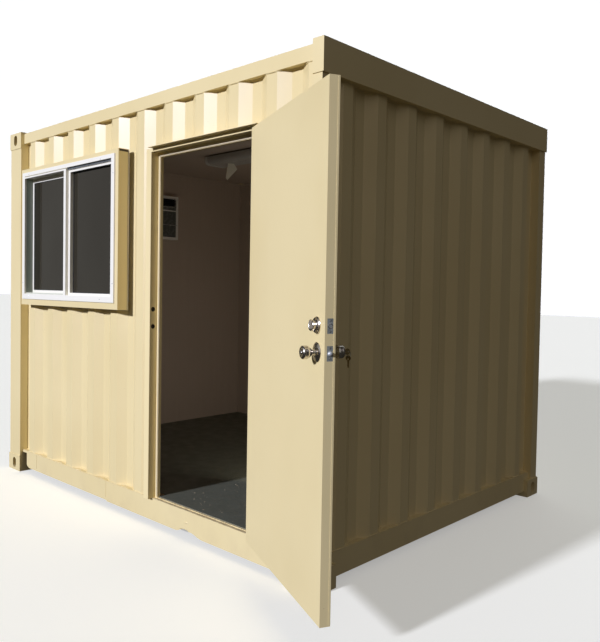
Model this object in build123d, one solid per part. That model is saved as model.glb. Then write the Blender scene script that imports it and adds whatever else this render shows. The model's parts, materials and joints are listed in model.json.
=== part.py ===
from build123d import *
import math
import os

# A ten-foot steel container made over into a site office.
# Origin: centre of the base, on the plane that the four bottom corner castings stand on.
# +X runs to the right seen from the door side, +Y to the back, +Z up.  Millimetres.
os.makedirs("parts", exist_ok=True)

# ---- overall sizes
length = 3175.0
width = 2438.0
height = 2591.0

# ---- corner castings (series 1 pattern)
casting_x = 178.0
casting_y = 162.0
casting_z = 118.0
casting_wall = 28.0
casting_back = 10.0
socket_x = 101.5
socket_y = 89.0
socket_long = 124.0
socket_wide = 63.5
side_hole_x = 89.0
side_hole_wide = 51.0
end_hole_y = 76.0
end_hole_wide = 63.5
hole_tall = 79.0
hole_z = 56.0

# ---- wall sheets
sheet = 2.0
wall_setback = 30.0
corrugation_depth = 36.0
corrugation_pitch = 278.0
outer_flat = 72.0
inner_flat = 70.0
end_crest = 186.0
roof_pitch = 209.0
roof_depth = 20.0
roof_outer_flat = 91.0
roof_inner_flat = 78.0
roof_crest = 30.0
roof_drop = 14.0

# ---- posts
post_plate = 6.0
post_side_recess = 3.0
post_end_recess = 12.0
box_post_side_recess = 5.0
box_post_end_recess = 10.0
box_post_y = 90.0
box_post_wall = 4.0

# ---- rails
rail_proud = 3.0
top_rail_tall = 75.0
top_rail_deep = 60.0
top_rail_drop = 12.0
rail_wall = 4.0
bottom_rail_low = 42.0
bottom_rail_high = 168.0
bottom_rail_deep = 60.0
bottom_rail_web = 5.0
flange_tall = 8.0
lip_setback = 6.0
lip_thick = 4.0
lip_drop = 4.0
lip_step = 7.0
lip_step_x = 1350.0
dent_x = 2175.0
dent_before = 95.0
dent_after = 150.0
dent_web = 9.0
dent_flange_deep = 42.0
dent_points = 6
notch_end = 87.0
notch_strip = 18.0
notch_corner = 24.0
sill_low = 38.0
sill_high = 165.0
fascia_tall = 160.0
fascia_wall = 4.0

# ---- floor
deck_low = 147.0
deck_thick = 28.0
covering_thick = 3.0
member_flange = 45.0
member_wall = 4.0
member_margin = 120.0
member_count = 9
covering_nose = 53.0

# ---- linings
lining_thick = 42.0
ceiling_drop = 118.0
ceiling_thick = 18.0

# ---- doorway
rebate_left = 1863.0
rebate_wide = 936.0
rebate_high = 2227.0
frame_proud = 36.0
stop_wide = 25.0
return_deep = 20.0
jamb_face = 48.0
jamb_round = 3.0
head_face = 19.0
frame_wall = 2.0
drip_out = 36.0
drip_thick = 3.0
drip_short = 15.0
strike_hole = 28.0
strike_deep = 12.0
threshold_thick = 3.0
threshold_nose = 3.0

# ---- door leaf
leaf_thick = 44.0
leaf_skin = 1.5
leaf_inset = 2.0
stop_gap = 5.0
hinge_gap = 6.0
latch_gap = 7.0
head_gap = 6.0
foot_gap = 5.0
open_angle = 154.0

# ---- hinges
barrel_radius = 7.0
pin_radius = 4.0
pin_clearance = 0.05
knuckle_count = 5
knuckle_gap = 0.3
hinge_tall = 114.0
hinge_plate = 2.5
hinge_plate_deep = 40.0
pivot_out = 9.5
hinge_inset = 180.0
pin_head_radius = 6.0
pin_head_tall = 3.0
knuckle_clear = 1.0

# ---- lockset
backset = 70.0
knob_high = 1030.0
bolt_above_knob = 102.0
knob_radius = 26.0
knob_reach = 64.0
knob_neck_radius = 13.0
knob_face_radius = 14.0
knob_waist = 2.0
knob_head = 26.0
knob_rim = 10.0
rose_radius = 38.0
rose_thick = 9.0
rose_rim = 2.0
rose_collar = 5.0
bolt_rose_radius = 33.0
bolt_rose_thick = 8.0
bolt_chamfer = 2.0
bolt_body_radius = 18.0
bolt_body_reach = 24.0
turn_clearance = 0.3
edge_plate_wide = 25.0
edge_plate_tall = 57.0
edge_plate_thick = 2.5
latch_out = 0.5
latch_radius = 8.0

# ---- window
window_left = 288.0
window_wide = 1287.0
window_low = 1290.0
window_tall = 993.0
window_proud = 73.0
window_plate = 5.0
unit_left = 315.0
unit_wide = 1226.0
unit_low = 1332.0
unit_tall = 924.0
unit_flange = 6.0
unit_flange_thick = 8.0
unit_side_face = 36.0
unit_head_face = 42.0
unit_sill_face = 38.0
unit_deep = 78.0
unit_fit = 1.0
screen_groove_drop = 26.0
screen_groove_tall = 6.0
screen_groove_deep = 10.0
head_cut_deep = 14.0
mullion_left = 606.0
mullion_wide = 29.0
front_track = 20.0
front_sash_thick = 34.0
front_stile = 25.0
front_bead = 10.0
front_head_bead = 15.0
front_sill_bead = 16.0
front_pane_back = 26.0
rear_track = 62.0
rear_sash_thick = 24.0
rear_stile = 23.0
rear_rail = 28.0
rear_overlap = 40.0
rear_pane_back = 5.0
pane_thick = 5.0
reveal_thick = 12.0

# ---- interior fittings
light_long = 1220.0
light_wide = 220.0
light_tall = 70.0
light_x = 1017.0
light_y = 0.0
light_pan_wide = 150.0
light_pan_tall = 30.0
light_shadow_gap = 12.0
light_round = 40.0
wall_unit_from_front = 943.0
wall_unit_wide = 560.0
wall_unit_low = 1866.0
wall_unit_tall = 391.0
wall_unit_deep = 60.0
wall_unit_frame = 22.0
wall_unit_round = 6.0
slot_tall = 68.0
slot_deep = 30.0
louvre_count = 4
louvre_thick = 3.0
louvre_back = 5.0
panel_deep = 6.0
divider_tall = 9.0
outlet_panel_tall = 28.0

# ---- worked out once from the sizes above
x_left = -length / 2
x_right = length / 2
y_front = -width / 2
y_back = width / 2
wall_zone = wall_setback + corrugation_depth + sheet
lining_zone = wall_zone + lining_thick
rail_setback = wall_setback - rail_proud
top_rail_high = height - top_rail_drop
top_rail_low = top_rail_high - top_rail_tall
fascia_low = height - fascia_tall
lip_low_left = bottom_rail_low - lip_drop
lip_low_right = lip_low_left - lip_step
ceiling_low = height - ceiling_drop
member_low = bottom_rail_low + flange_tall
deck_high = deck_low + deck_thick
floor_high = deck_high + covering_thick
frame_front = y_front + wall_setback - frame_proud
lining_face = y_front + lining_zone
rebate_deep = leaf_inset + leaf_thick + stop_gap
return_back = frame_front + rebate_deep + return_deep
rebate_right = rebate_left + rebate_wide
rebate_low = bottom_rail_high + threshold_thick
door_left = rebate_left - jamb_face
door_right = rebate_right + jamb_face
head_top = rebate_high + head_face


def at_x(from_left):
    """Frame X of a distance measured from the left end."""
    return x_left + from_left


def block(x0, x1, y0, y1, z0, z1):
    """Axis-aligned box between two corners."""
    centre = ((x0 + x1) / 2, (y0 + y1) / 2, (z0 + z1) / 2)
    return Pos(*centre) * Box(x1 - x0, y1 - y0, z1 - z0)


def prism(points, low, high):
    """Outline in X and Y, raised from low to high."""
    face = make_face(Polyline(*points, close=True))
    return Pos(0, 0, low) * extrude(face, high - low, dir=(0, 0, 1))


def prism_along_x(points, x0, x1):
    """Outline given as (y, z) pairs, run from x0 to x1."""
    face = make_face(Polyline(*[(x0, y, z) for y, z in points], close=True))
    return extrude(face, x1 - x0, dir=(1, 0, 0))


def prism_along_y(points, y0, y1):
    """Outline given as (x, z) pairs, run from y0 to y1."""
    face = make_face(Polyline(*[(x, y0, z) for x, z in points], close=True))
    return extrude(face, y1 - y0, dir=(0, 1, 0))


def save(name, *shapes):
    """Write one node; several solids make one file."""
    shape = shapes[0] if len(shapes) == 1 else Compound(children=list(shapes))
    shape.label = name
    export_step(shape, "parts/" + name + ".step")


def flip_x(shape):
    return mirror(shape, about=Plane.YZ)


def flip_y(shape):
    return mirror(shape, about=Plane.XZ)


# ---- corner castings
def slot(long, wide, deep):
    """Stadium-shaped cutter: long along X, wide along Y, cut deep along Z, centred."""
    return extrude(SlotOverall(long, wide), deep / 2, both=True)


def bottom_casting():
    """Hollow cast block at the front left corner with one socket below and one on each outer side."""
    x0, y0 = x_left, y_front
    body = block(x0, x0 + casting_x, y0, y0 + casting_y, 0, casting_z)
    hollow = block(
        x0 + casting_wall, x0 + casting_x - casting_back,
        y0 + casting_wall, y0 + casting_y - casting_back,
        casting_wall, casting_z - casting_back,
    )
    below = Pos(x0 + socket_x, y0 + socket_y, 0) * slot(socket_long, socket_wide, 3 * casting_wall)
    side_hole = Pos(x0 + side_hole_x, y0, hole_z) * Rot(90, 0, 0) * Rot(0, 0, 90)
    side_hole = side_hole * slot(hole_tall, side_hole_wide, 3 * casting_wall)
    end_hole = Pos(x0, y0 + end_hole_y, hole_z) * Rot(0, 90, 0) * slot(hole_tall, end_hole_wide, 3 * casting_wall)
    return body - hollow - below - side_hole - end_hole


casting = bottom_casting()
top_casting = Pos(0, 0, height) * mirror(casting, about=Plane.XY)
save("castings_bottom_left", casting, flip_y(casting))
save("castings_bottom_right", flip_x(casting), flip_x(flip_y(casting)))
save("castings_top_left", top_casting, flip_y(top_casting))


# ---- posts
def container_post():
    """Folded corner post of the front left corner: two wide flanges with lips that close the wall sheets."""
    x0 = x_left + post_end_recess
    y0 = y_front + post_side_recess
    x1 = x_left + casting_x
    y1 = y_front + casting_y
    lip_y = y_front + wall_zone
    lip_x = x_left + wall_zone
    t = post_plate
    outline = [
        (x1, lip_y), (x1, y0), (x0, y0), (x0, y1), (lip_x, y1), (lip_x, y1 - t),
        (x0 + t, y1 - t), (x0 + t, y0 + t), (x1 - t, y0 + t), (x1 - t, lip_y),
    ]
    return prism(outline, casting_z, height - casting_z)


def box_post():
    """Rectangular tube post of the front right corner, under the end header."""
    x0 = x_right - wall_zone
    x1 = x_right - box_post_end_recess
    y0 = y_front + box_post_side_recess
    y1 = y0 + box_post_y
    t = box_post_wall
    tube = block(x0, x1, y0, y1, casting_z, fascia_low)
    return tube - block(x0 + t, x1 - t, y0 + t, y1 - t, casting_z, fascia_low)


save("posts_left_end", container_post(), flip_y(container_post()))
save("posts_right_end", box_post(), flip_y(box_post()))


# ---- bottom rails and end sills
def dent(x):
    """Height from 0 to 1 of the bent stretch of the front lip at x; its two flanks differ in length."""
    reach = dent_before if x < at_x(dent_x) else dent_after
    share = (x - at_x(dent_x)) / reach
    return (1 + math.cos(math.pi * share)) / 2 if abs(share) < 1 else 0.0


def dent_cut(base, rise, y0, y1):
    """Cutter below the bent stretch: its top edge follows the dent upward from base."""
    stations = [at_x(dent_x) - dent_before * (1 - n / dent_points) for n in range(dent_points)]
    stations += [at_x(dent_x) + dent_after * n / dent_points for n in range(dent_points + 1)]
    curve = [(x, base + rise * dent(x)) for x in stations]
    floor_z = lip_low_left - 2 * lip_step
    return prism_along_y([(curve[0][0], floor_z)] + curve + [(curve[-1][0], floor_z)], y0, y1)


def bottom_rail():
    """Channel along the front: flush web, flanges turned in, and a downstand lip set back from the web."""
    y0 = y_front + rail_setback
    y1 = y0 + bottom_rail_deep
    t = bottom_rail_web
    low = bottom_rail_low
    flange_high = low + flange_tall
    outline = [
        (y0, flange_high), (y0, bottom_rail_high), (y1, bottom_rail_high), (y1, bottom_rail_high - t),
        (y0 + t, bottom_rail_high - t), (y0 + t, flange_high), (y1, flange_high), (y1, low),
        (y0 + lip_setback, low), (y0 + lip_setback, flange_high - 1), (y0, flange_high - 1),
    ]
    start = x_left + casting_x
    rail = prism_along_x(outline, start, x_right - wall_zone)
    lip_y0 = y0 + lip_setback
    for x0, x1, z in ((start, at_x(lip_step_x), lip_low_left), (at_x(lip_step_x), x_right - wall_zone, lip_low_right)):
        rail = rail + block(x0, x1, lip_y0, lip_y0 + lip_thick, z, flange_high)
    notch = [
        (start, lip_low_right - 1), (start, bottom_rail_high - notch_strip),
        (start + notch_end - notch_corner, bottom_rail_high - notch_strip),
        (start + notch_end - notch_corner, low + notch_corner), (start + notch_end, lip_low_right - 1),
    ]
    rail = rail - prism_along_y(notch, y0 - 1, y1 + 1)
    return rail - block(x_right - casting_x, x_right, y0 - 1, y1 + 1, lip_low_right - 1, casting_z)


def bent_rail():
    """Front rail with its lip and the foot of its web bent upward below the doorway."""
    y0 = y_front + rail_setback
    flange_high = bottom_rail_low + flange_tall
    web_cut = dent_cut(flange_high - 1, dent_web + 1, y0 - 1, y0 + lip_setback)
    lip_cut = dent_cut(lip_low_right, flange_high + dent_web - lip_low_right, y0 + lip_setback, y0 + dent_flange_deep)
    return bottom_rail() - web_cut - lip_cut


def end_sill(inner_post_edge):
    """Channel across the left end between the castings; its upper strip runs on over them to the posts."""
    x0 = x_left + wall_setback - rail_proud
    x1 = x0 + bottom_rail_deep
    t = bottom_rail_web
    outline = [
        (x0, sill_low), (x0, sill_high), (x1, sill_high), (x1, sill_high - t), (x0 + t, sill_high - t),
        (x0 + t, sill_low + t), (x1, sill_low + t), (x1, sill_low),
    ]
    y0 = y_front + inner_post_edge
    sill = prism_along_y(outline, y0, -y0)
    for side in (-1, 1):
        inner = side * (width / 2 - casting_y)
        outer = side * width / 2
        sill = sill - block(x0 - 1, x1 + 1, min(inner, outer), max(inner, outer), sill_low - 1, casting_z)
    return sill


save("bottom_rails", bent_rail(), flip_y(bottom_rail()))
save("end_sills", end_sill(casting_y), flip_x(end_sill(box_post_side_recess + box_post_y)))


# ---- top rails and headers
def tube_along_x(x0, x1, y0, y1, z0, z1, t):
    return block(x0, x1, y0, y1, z0, z1) - block(x0, x1, y0 + t, y1 - t, z0 + t, z1 - t)


def tube_along_y(x0, x1, y0, y1, z0, z1, t):
    return block(x0, x1, y0, y1, z0, z1) - block(x0 + t, x1 - t, y0, y1, z0 + t, z1 - t)


rail_y0 = y_front + rail_setback
top_rail = tube_along_x(
    x_left + casting_x, x_right - wall_zone, rail_y0, rail_y0 + top_rail_deep, top_rail_low, top_rail_high, rail_wall
)
save("top_rails", top_rail, flip_y(top_rail))

header_x0 = x_left + rail_setback
header_y = width / 2 - casting_y
save("header_left", tube_along_y(
    header_x0, header_x0 + top_rail_deep, -header_y, header_y, top_rail_low, top_rail_high, rail_wall
))

fascia = block(x_right - wall_zone, x_right, y_front, y_back, fascia_low, height)
fascia = fascia - block(
    x_right - wall_zone + fascia_wall, x_right - fascia_wall,
    y_front + fascia_wall, y_back - fascia_wall,
    fascia_low + fascia_wall, height - fascia_wall,
)
save("header_right", fascia)


# ---- corrugated sheets
def wave(start, stop, first, pitch, outer, inner, depth):
    """(along, in) corners of a corrugation from start to stop; a crest begins at first + n * pitch."""
    slope = (pitch - outer - inner) / 2
    corners = []
    for n in range(math.floor((start - first) / pitch) - 1, math.ceil((stop - first) / pitch) + 1):
        crest = first + n * pitch
        corners += [(crest, 0), (crest + outer, 0), (crest + outer + slope, depth), (crest + pitch - slope, depth)]

    def height_at(s):
        for (s0, d0), (s1, d1) in zip(corners, corners[1:]):
            if s0 <= s <= s1:
                return d0 + (d1 - d0) * (s - s0) / (s1 - s0)
        return 0

    inside = [(s, d) for s, d in corners if start < s < stop]
    return [(start, height_at(start))] + inside + [(stop, height_at(stop))]


def sheet_outline(start, stop, first, pitch, outer, inner, depth):
    """Closed outline of a corrugated sheet, thickness measured square to the wall."""
    top = wave(start, stop, first, pitch, outer, inner, depth)
    return top + [(s, d + sheet) for s, d in reversed(top)]


def side_sheet(start, stop, low, high):
    """Piece of the front wall between two distances from the left end."""
    outline = sheet_outline(start, stop, 0, corrugation_pitch, outer_flat, inner_flat, corrugation_depth)
    face_y = y_front + wall_setback
    return prism([(at_x(s), face_y + d) for s, d in outline], low, high)


def end_sheet(post_edge, high):
    """Left end wall between its posts."""
    outline = sheet_outline(
        post_edge, width - post_edge, end_crest, corrugation_pitch, outer_flat, inner_flat, corrugation_depth
    )
    face_x = x_left + wall_setback
    return prism([(face_x + d, y_front + s) for s, d in outline], sill_high, high)


side_start = casting_x
side_stop = length - wall_zone
window_hole = block(
    at_x(unit_left + unit_flange), at_x(unit_left + unit_wide - unit_flange), y_front - 2 * window_proud, 0,
    unit_low + unit_flange, unit_low + unit_tall - unit_flange,
)
save("wall_front_left", side_sheet(side_start, door_left, bottom_rail_high, top_rail_low) - window_hole)
save("wall_front_over_door", side_sheet(door_left, door_right, head_top, top_rail_low))
save("wall_front_right", side_sheet(door_right, side_stop, bottom_rail_high, top_rail_low))
save("wall_rear", flip_y(side_sheet(side_start, side_stop, bottom_rail_high, top_rail_low)))
save("wall_left_end", end_sheet(casting_y, top_rail_low))
save("wall_right_end", flip_x(end_sheet(box_post_side_recess + box_post_y, fascia_low)))


def roof_panel():
    """Corrugated roof between the rails and headers, notched round the top castings."""
    x0 = x_left + rail_setback + top_rail_deep
    x1 = x_right - wall_zone
    y1 = width / 2 - rail_setback - top_rail_deep
    top = height - roof_drop
    outline = sheet_outline(0, x1 - x0, roof_crest, roof_pitch, roof_outer_flat, roof_inner_flat, roof_depth)
    panel = prism_along_y([(x0 + s, top - d) for s, d in outline], -y1, y1)
    for side in (-1, 1):
        corner_y = sorted((side * (width / 2 - casting_y), side * width / 2))
        panel = panel - block(x_left, x_left + casting_x, *corner_y, height - casting_z, height)
    return panel


save("roof_sheet", roof_panel())

# ---- floor
deck_x = length / 2 - rail_setback - bottom_rail_deep
deck_y = width / 2 - rail_setback - bottom_rail_deep
lining_x = length / 2 - lining_zone
lining_y = width / 2 - lining_zone


def cross_member(x):
    """Channel under the deck between the side rails, web at x, flanges toward +X."""
    t = member_wall
    high = deck_low
    low = member_low
    outline = [
        (x, low), (x, high), (x + member_flange, high), (x + member_flange, high - t), (x + t, high - t),
        (x + t, low + t), (x + member_flange, low + t), (x + member_flange, low),
    ]
    y = width / 2 - rail_setback - bottom_rail_web
    return prism_along_y(outline, -y, y)


member_first = x_left + casting_x + member_margin
member_last = x_right - casting_x - member_margin - member_flange
member_step = (member_last - member_first) / (member_count - 1)
save("floor_cross_members", *[cross_member(member_first + n * member_step) for n in range(member_count)])
save("floor_deck", block(-deck_x, deck_x, -deck_y, deck_y, deck_low, deck_high))
doorway_tongue = block(
    at_x(rebate_left + stop_wide), at_x(rebate_right - stop_wide), lining_face - covering_nose, lining_face,
    deck_high, floor_high,
)
save("floor_covering", block(-lining_x, lining_x, -lining_y, lining_y, deck_high, floor_high) + doorway_tongue)

# ---- linings and ceiling
lining_outer = y_front + wall_zone
front_lining_left = block(x_left + wall_zone, at_x(door_left), lining_outer, lining_face, deck_high, ceiling_low)
save("lining_front_left", front_lining_left - window_hole)
save("lining_over_door", block(at_x(door_left), at_x(door_right), lining_outer, lining_face, head_top, ceiling_low))
save("lining_front_right", block(at_x(door_right), x_right - wall_zone, lining_outer, lining_face, deck_high, ceiling_low))
save("lining_rear", block(x_left + wall_zone, x_right - wall_zone, -lining_face, -lining_outer, deck_high, ceiling_low))
left_lining = block(x_left + wall_zone, x_left + lining_zone, -lining_y, lining_y, deck_high, ceiling_low)
save("lining_left_end", left_lining)
save("lining_right_end", flip_x(left_lining))
ceiling_panel = block(
    x_left + wall_zone, x_right - wall_zone, lining_outer, -lining_outer, ceiling_low, ceiling_low + ceiling_thick
)
for y0, y1 in ((y_front, y_front + casting_y), (y_back - casting_y, y_back)):
    ceiling_panel = ceiling_panel - block(x_left, x_left + casting_x, y0, y1, height - casting_z, height)
save("ceiling_panel", ceiling_panel)


# ---- door frame
def jamb_section(inset, corner):
    """Plan of the left jamb, drawn in by inset: face, rebate, stop and inner return, front corners rounded."""
    x0, x1 = at_x(door_left) + inset, at_x(rebate_left) - inset
    x2 = x1 + stop_wide
    front = frame_front + inset
    stop_y = frame_front + rebate_deep + inset
    back = return_back - inset
    face = make_face(Polyline((x0, front), (x1, front), (x1, stop_y), (x2, stop_y), (x2, back), (x0, back), close=True))
    return fillet(face.vertices().group_by(Axis.Y)[0], corner)


def pressed_jamb():
    """Hollow left jamb pressed from sheet, standing on the rail and reaching to the top of the head."""
    tall = head_top - bottom_rail_high
    outer = extrude(jamb_section(0, jamb_round), tall, dir=(0, 0, 1))
    inner = extrude(jamb_section(frame_wall, jamb_round - frame_wall), tall, dir=(0, 0, 1))
    return Pos(0, 0, bottom_rail_high) * (outer - inner)


left_jamb = pressed_jamb()
left_jamb = left_jamb - block(x_left, x_right, -deck_y, 0, bottom_rail_high, deck_high)
mirror_shift = 2 * at_x((rebate_left + rebate_right) / 2)
right_jamb = Pos(mirror_shift, 0, 0) * flip_x(left_jamb)
knob_z = rebate_low + knob_high
strike_y = frame_front + leaf_inset + leaf_thick / 2
for z in (knob_z, knob_z + bolt_above_knob):
    hole = Pos(at_x(rebate_left), strike_y, z) * Rot(0, 90, 0) * Cylinder(strike_hole / 2, 2 * strike_deep)
    left_jamb = left_jamb - hole
save("door_jamb_left", left_jamb)
save("door_jamb_right", right_jamb)


def door_head():
    """Frame head between the jambs with the same rebate and stop, and a flat drip over the doorway."""
    t = frame_wall
    stop_y = frame_front + rebate_deep
    stop_z = rebate_high - stop_wide
    outer = [
        (frame_front, rebate_high), (frame_front, head_top), (return_back, head_top), (return_back, stop_z),
        (stop_y, stop_z), (stop_y, rebate_high),
    ]
    inner = [
        (frame_front + t, rebate_high + t), (frame_front + t, head_top - t), (return_back - t, head_top - t),
        (return_back - t, stop_z + t), (stop_y + t, stop_z + t), (stop_y + t, rebate_high + t),
    ]
    x0, x1 = at_x(rebate_left), at_x(rebate_right)
    head = prism_along_x(outer, x0, x1) - prism_along_x(inner, x0, x1)
    for side_x in (x0, x1 - stop_wide):
        head = head - block(side_x, side_x + stop_wide, stop_y, return_back + 1, stop_z - 1, head_top + 1)
    drip_back = y_front + wall_setback
    drip = block(
        x0 + drip_short, x1 - drip_short, frame_front - drip_out, drip_back, head_top, head_top + drip_thick
    )
    return head + drip


def door_threshold():
    """Stepped plate over the rail, thin under the leaf, with the floor covering lapping onto its higher back."""
    x0, x1 = at_x(rebate_left), at_x(rebate_right)
    y0 = rail_y0 - threshold_nose
    y1 = rail_y0 + bottom_rail_deep
    step_y = frame_front + rebate_deep
    front = block(x0, x1, y0, step_y, bottom_rail_high, rebate_low)
    back = block(x0 + stop_wide, x1 - stop_wide, step_y, y1, bottom_rail_high, deck_high)
    return front + back


save("door_frame_head", door_head())
save("door_threshold", door_threshold())

# ---- door leaf, drawn closed and then swung open
pivot_x = at_x(rebate_right) - hinge_gap / 2
leaf_y0 = frame_front + leaf_inset
leaf_y1 = leaf_y0 + leaf_thick
pivot_y = leaf_y0 - pivot_out
leaf_x0 = at_x(rebate_left) + latch_gap
leaf_x1 = at_x(rebate_right) - hinge_gap
leaf_z0 = rebate_low + foot_gap
leaf_z1 = rebate_high - head_gap
swing_axis = Axis((pivot_x, pivot_y, 0), (0, 0, 1))


def swung(shape):
    """A door piece moved from closed to the open rest position."""
    return shape.rotate(swing_axis, open_angle)


lock_x = leaf_x0 + backset
lock_heights = (knob_z, knob_z + bolt_above_knob)
leaf_mid_y = (leaf_y0 + leaf_y1) / 2
leaf_box = block(leaf_x0, leaf_x1, leaf_y0, leaf_y1, leaf_z0, leaf_z1)
core = block(
    leaf_x0 + leaf_skin, leaf_x1 - leaf_skin, leaf_y0 + leaf_skin, leaf_y1 - leaf_skin,
    leaf_z0 + leaf_skin, leaf_z1 - leaf_skin,
)
skin = leaf_box - core
edge_plates = []
for z in lock_heights:
    plate = block(
        leaf_x0, leaf_x0 + edge_plate_thick, leaf_mid_y - edge_plate_wide / 2, leaf_mid_y + edge_plate_wide / 2,
        z - edge_plate_tall / 2, z + edge_plate_tall / 2,
    )
    skin = skin - plate
    core = core - plate
    bolt = Pos(leaf_x0 - latch_out / 2, leaf_mid_y, z) * Rot(0, 90, 0) * Cylinder(latch_radius, latch_out)
    edge_plates.append(plate + bolt)
save("door_skin", swung(skin))
save("door_core", swung(core))
save("door_edge_plates", *[swung(plate) for plate in edge_plates])

# ---- hinges
hinge_heights = (
    leaf_z0 + hinge_inset, (leaf_z0 + leaf_z1) / 2, leaf_z1 - hinge_inset,
)
knuckle_tall = hinge_tall / knuckle_count


def knuckle(z_mid, n):
    """One knuckle of the barrel, solid."""
    low = z_mid - hinge_tall / 2 + n * knuckle_tall + knuckle_gap / 2
    tall = knuckle_tall - knuckle_gap
    return Pos(pivot_x, pivot_y, low + tall / 2) * Cylinder(barrel_radius, tall)


def hinge_half(z_mid, first, plate_x):
    """Plate on the gap face with every second knuckle, cut back round the knuckles of the other half."""
    plate = block(
        plate_x, plate_x + hinge_plate, pivot_y, leaf_y0 + hinge_plate_deep,
        z_mid - hinge_tall / 2 + knuckle_gap / 2, z_mid + hinge_tall / 2 - knuckle_gap / 2,
    )
    for n in range(1 - first, knuckle_count, 2):
        mid = z_mid - hinge_tall / 2 + (n + 1 / 2) * knuckle_tall
        plate = plate - Pos(pivot_x, pivot_y, mid) * Cylinder(barrel_radius + knuckle_clear, knuckle_tall + knuckle_gap)
    for n in range(first, knuckle_count, 2):
        plate = plate + knuckle(z_mid, n)
    return plate


def hinge_pin(z_mid):
    """Pin held in the frame's knuckles, with a flat head resting on the top one."""
    stem = Pos(pivot_x, pivot_y, z_mid) * Cylinder(pin_radius, hinge_tall - knuckle_gap)
    head_z = z_mid + hinge_tall / 2 - knuckle_gap / 2 + pin_head_tall / 2
    return stem + Pos(pivot_x, pivot_y, head_z) * Cylinder(pin_head_radius, pin_head_tall)


def pin_bore(z_mid):
    return Pos(pivot_x, pivot_y, z_mid) * Cylinder(pin_radius + pin_clearance, hinge_tall)


frame_plate_x = at_x(rebate_right) - hinge_plate
save("hinges_frame_side", *[hinge_half(z, 0, frame_plate_x) + hinge_pin(z) for z in hinge_heights])
save("hinges_door_side", *[swung(hinge_half(z, 1, leaf_x1) - pin_bore(z)) for z in hinge_heights])


# ---- lockset
def turned(profile):
    """Solid of revolution about +Z from (radius, height) corners."""
    face = make_face(Polyline(*[(r, 0, z) for r, z in profile], close=True))
    return revolve(face, Axis.Z, 360)


def rose():
    """Dished ring around the knob's neck."""
    bore = knob_neck_radius + turn_clearance
    collar = knob_neck_radius + rose_collar
    dish = ThreePointArc(
        (rose_radius, 0, rose_rim), ((rose_radius + collar) / 2, 0, rose_thick - rose_rim), (collar, 0, rose_thick)
    )
    rest = Polyline(
        (collar, 0, rose_thick), (bore, 0, rose_thick), (bore, 0, 0), (rose_radius, 0, 0), (rose_radius, 0, rose_rim)
    )
    return revolve(make_face([dish, rest]), Axis.Z, 360)


def knob():
    """Round knob on a waisted neck, its face crowned and pressed flat in the middle."""
    neck_top = (knob_neck_radius - knob_waist, 0, rose_thick + knob_reach / 5)
    shoulder = (knob_radius - knob_waist, 0, knob_reach - knob_head)
    rim_low = (knob_radius, 0, knob_reach - knob_head + knob_rim / 2)
    rim_high = (knob_radius, 0, knob_reach - knob_rim)
    crown = (knob_face_radius, 0, knob_reach)
    edge = (knob_radius - knob_waist, 0, knob_reach - knob_waist)
    outline = [
        Polyline(crown, (0, 0, knob_reach), (0, 0, turn_clearance), (knob_neck_radius, 0, turn_clearance),
                 (knob_neck_radius, 0, rose_thick), neck_top),
        Line(neck_top, shoulder), Line(shoulder, rim_low), Line(rim_low, rim_high),
        ThreePointArc(rim_high, edge, crown),
    ]
    return revolve(make_face(outline), Axis.Z, 360)


def bolt_cylinder():
    """Deadbolt rose with its stepped key cylinder."""
    chamfer_r = bolt_rose_radius - 2 * bolt_chamfer
    return turned([
        (0, 0), (bolt_rose_radius, 0), (bolt_rose_radius, bolt_rose_thick / 2), (chamfer_r, bolt_rose_thick),
        (bolt_body_radius, bolt_rose_thick), (bolt_body_radius, bolt_body_reach - bolt_chamfer),
        (bolt_body_radius - bolt_chamfer, bolt_body_reach), (0, bolt_body_reach),
    ])


def on_face(shape, z, outside):
    """Lock piece drawn along +Z, set on the inside or outside face of the leaf and swung open."""
    if outside:
        return swung(Pos(lock_x, leaf_y0, z) * Rot(90, 0, 0) * shape)
    return swung(Pos(lock_x, leaf_y1, z) * Rot(-90, 0, 0) * shape)


save("knob_roses", on_face(rose(), knob_z, False), on_face(rose(), knob_z, True))
save("knob_inside", on_face(knob(), knob_z, False))
save("knob_outside", on_face(knob(), knob_z, True))
bolt_z = knob_z + bolt_above_knob
save("deadbolt_cylinders", on_face(bolt_cylinder(), bolt_z, False), on_face(bolt_cylinder(), bolt_z, True))


# ---- window
def rect_ring(x0, x1, y0, y1, z0, z1, band):
    """Upright rectangular ring; band is the width of its four members."""
    return block(x0, x1, y0, y1, z0, z1) - block(x0 + band, x1 - band, y0, y1, z0 + band, z1 - band)


window_face = y_front + wall_setback - window_proud
box_x0, box_x1 = at_x(window_left), at_x(window_left + window_wide)
box_z0, box_z1 = window_low, window_low + window_tall
window_box = rect_ring(box_x0, box_x1, window_face, y_front + wall_setback, box_z0, box_z1, window_plate)
face_plate = block(
    box_x0 + window_plate, box_x1 - window_plate, window_face, window_face + window_plate,
    box_z0 + window_plate, box_z1 - window_plate,
)
window_box = window_box + (face_plate - window_hole)
save("window_box", window_box)

unit_x0, unit_x1 = at_x(unit_left), at_x(unit_left + unit_wide)
unit_z0, unit_z1 = unit_low, unit_low + unit_tall
flange_y = window_face - unit_flange_thick
body_in = unit_flange + unit_fit
unit_back = window_face + unit_deep
inner_x0, inner_x1 = unit_x0 + unit_side_face, unit_x1 - unit_side_face
inner_z0, inner_z1 = unit_z0 + unit_sill_face, unit_z1 - unit_head_face
mullion_x0 = unit_x0 + mullion_left
mullion_x1 = mullion_x0 + mullion_wide
front_y = flange_y + front_track
rear_y = flange_y + rear_track


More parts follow.
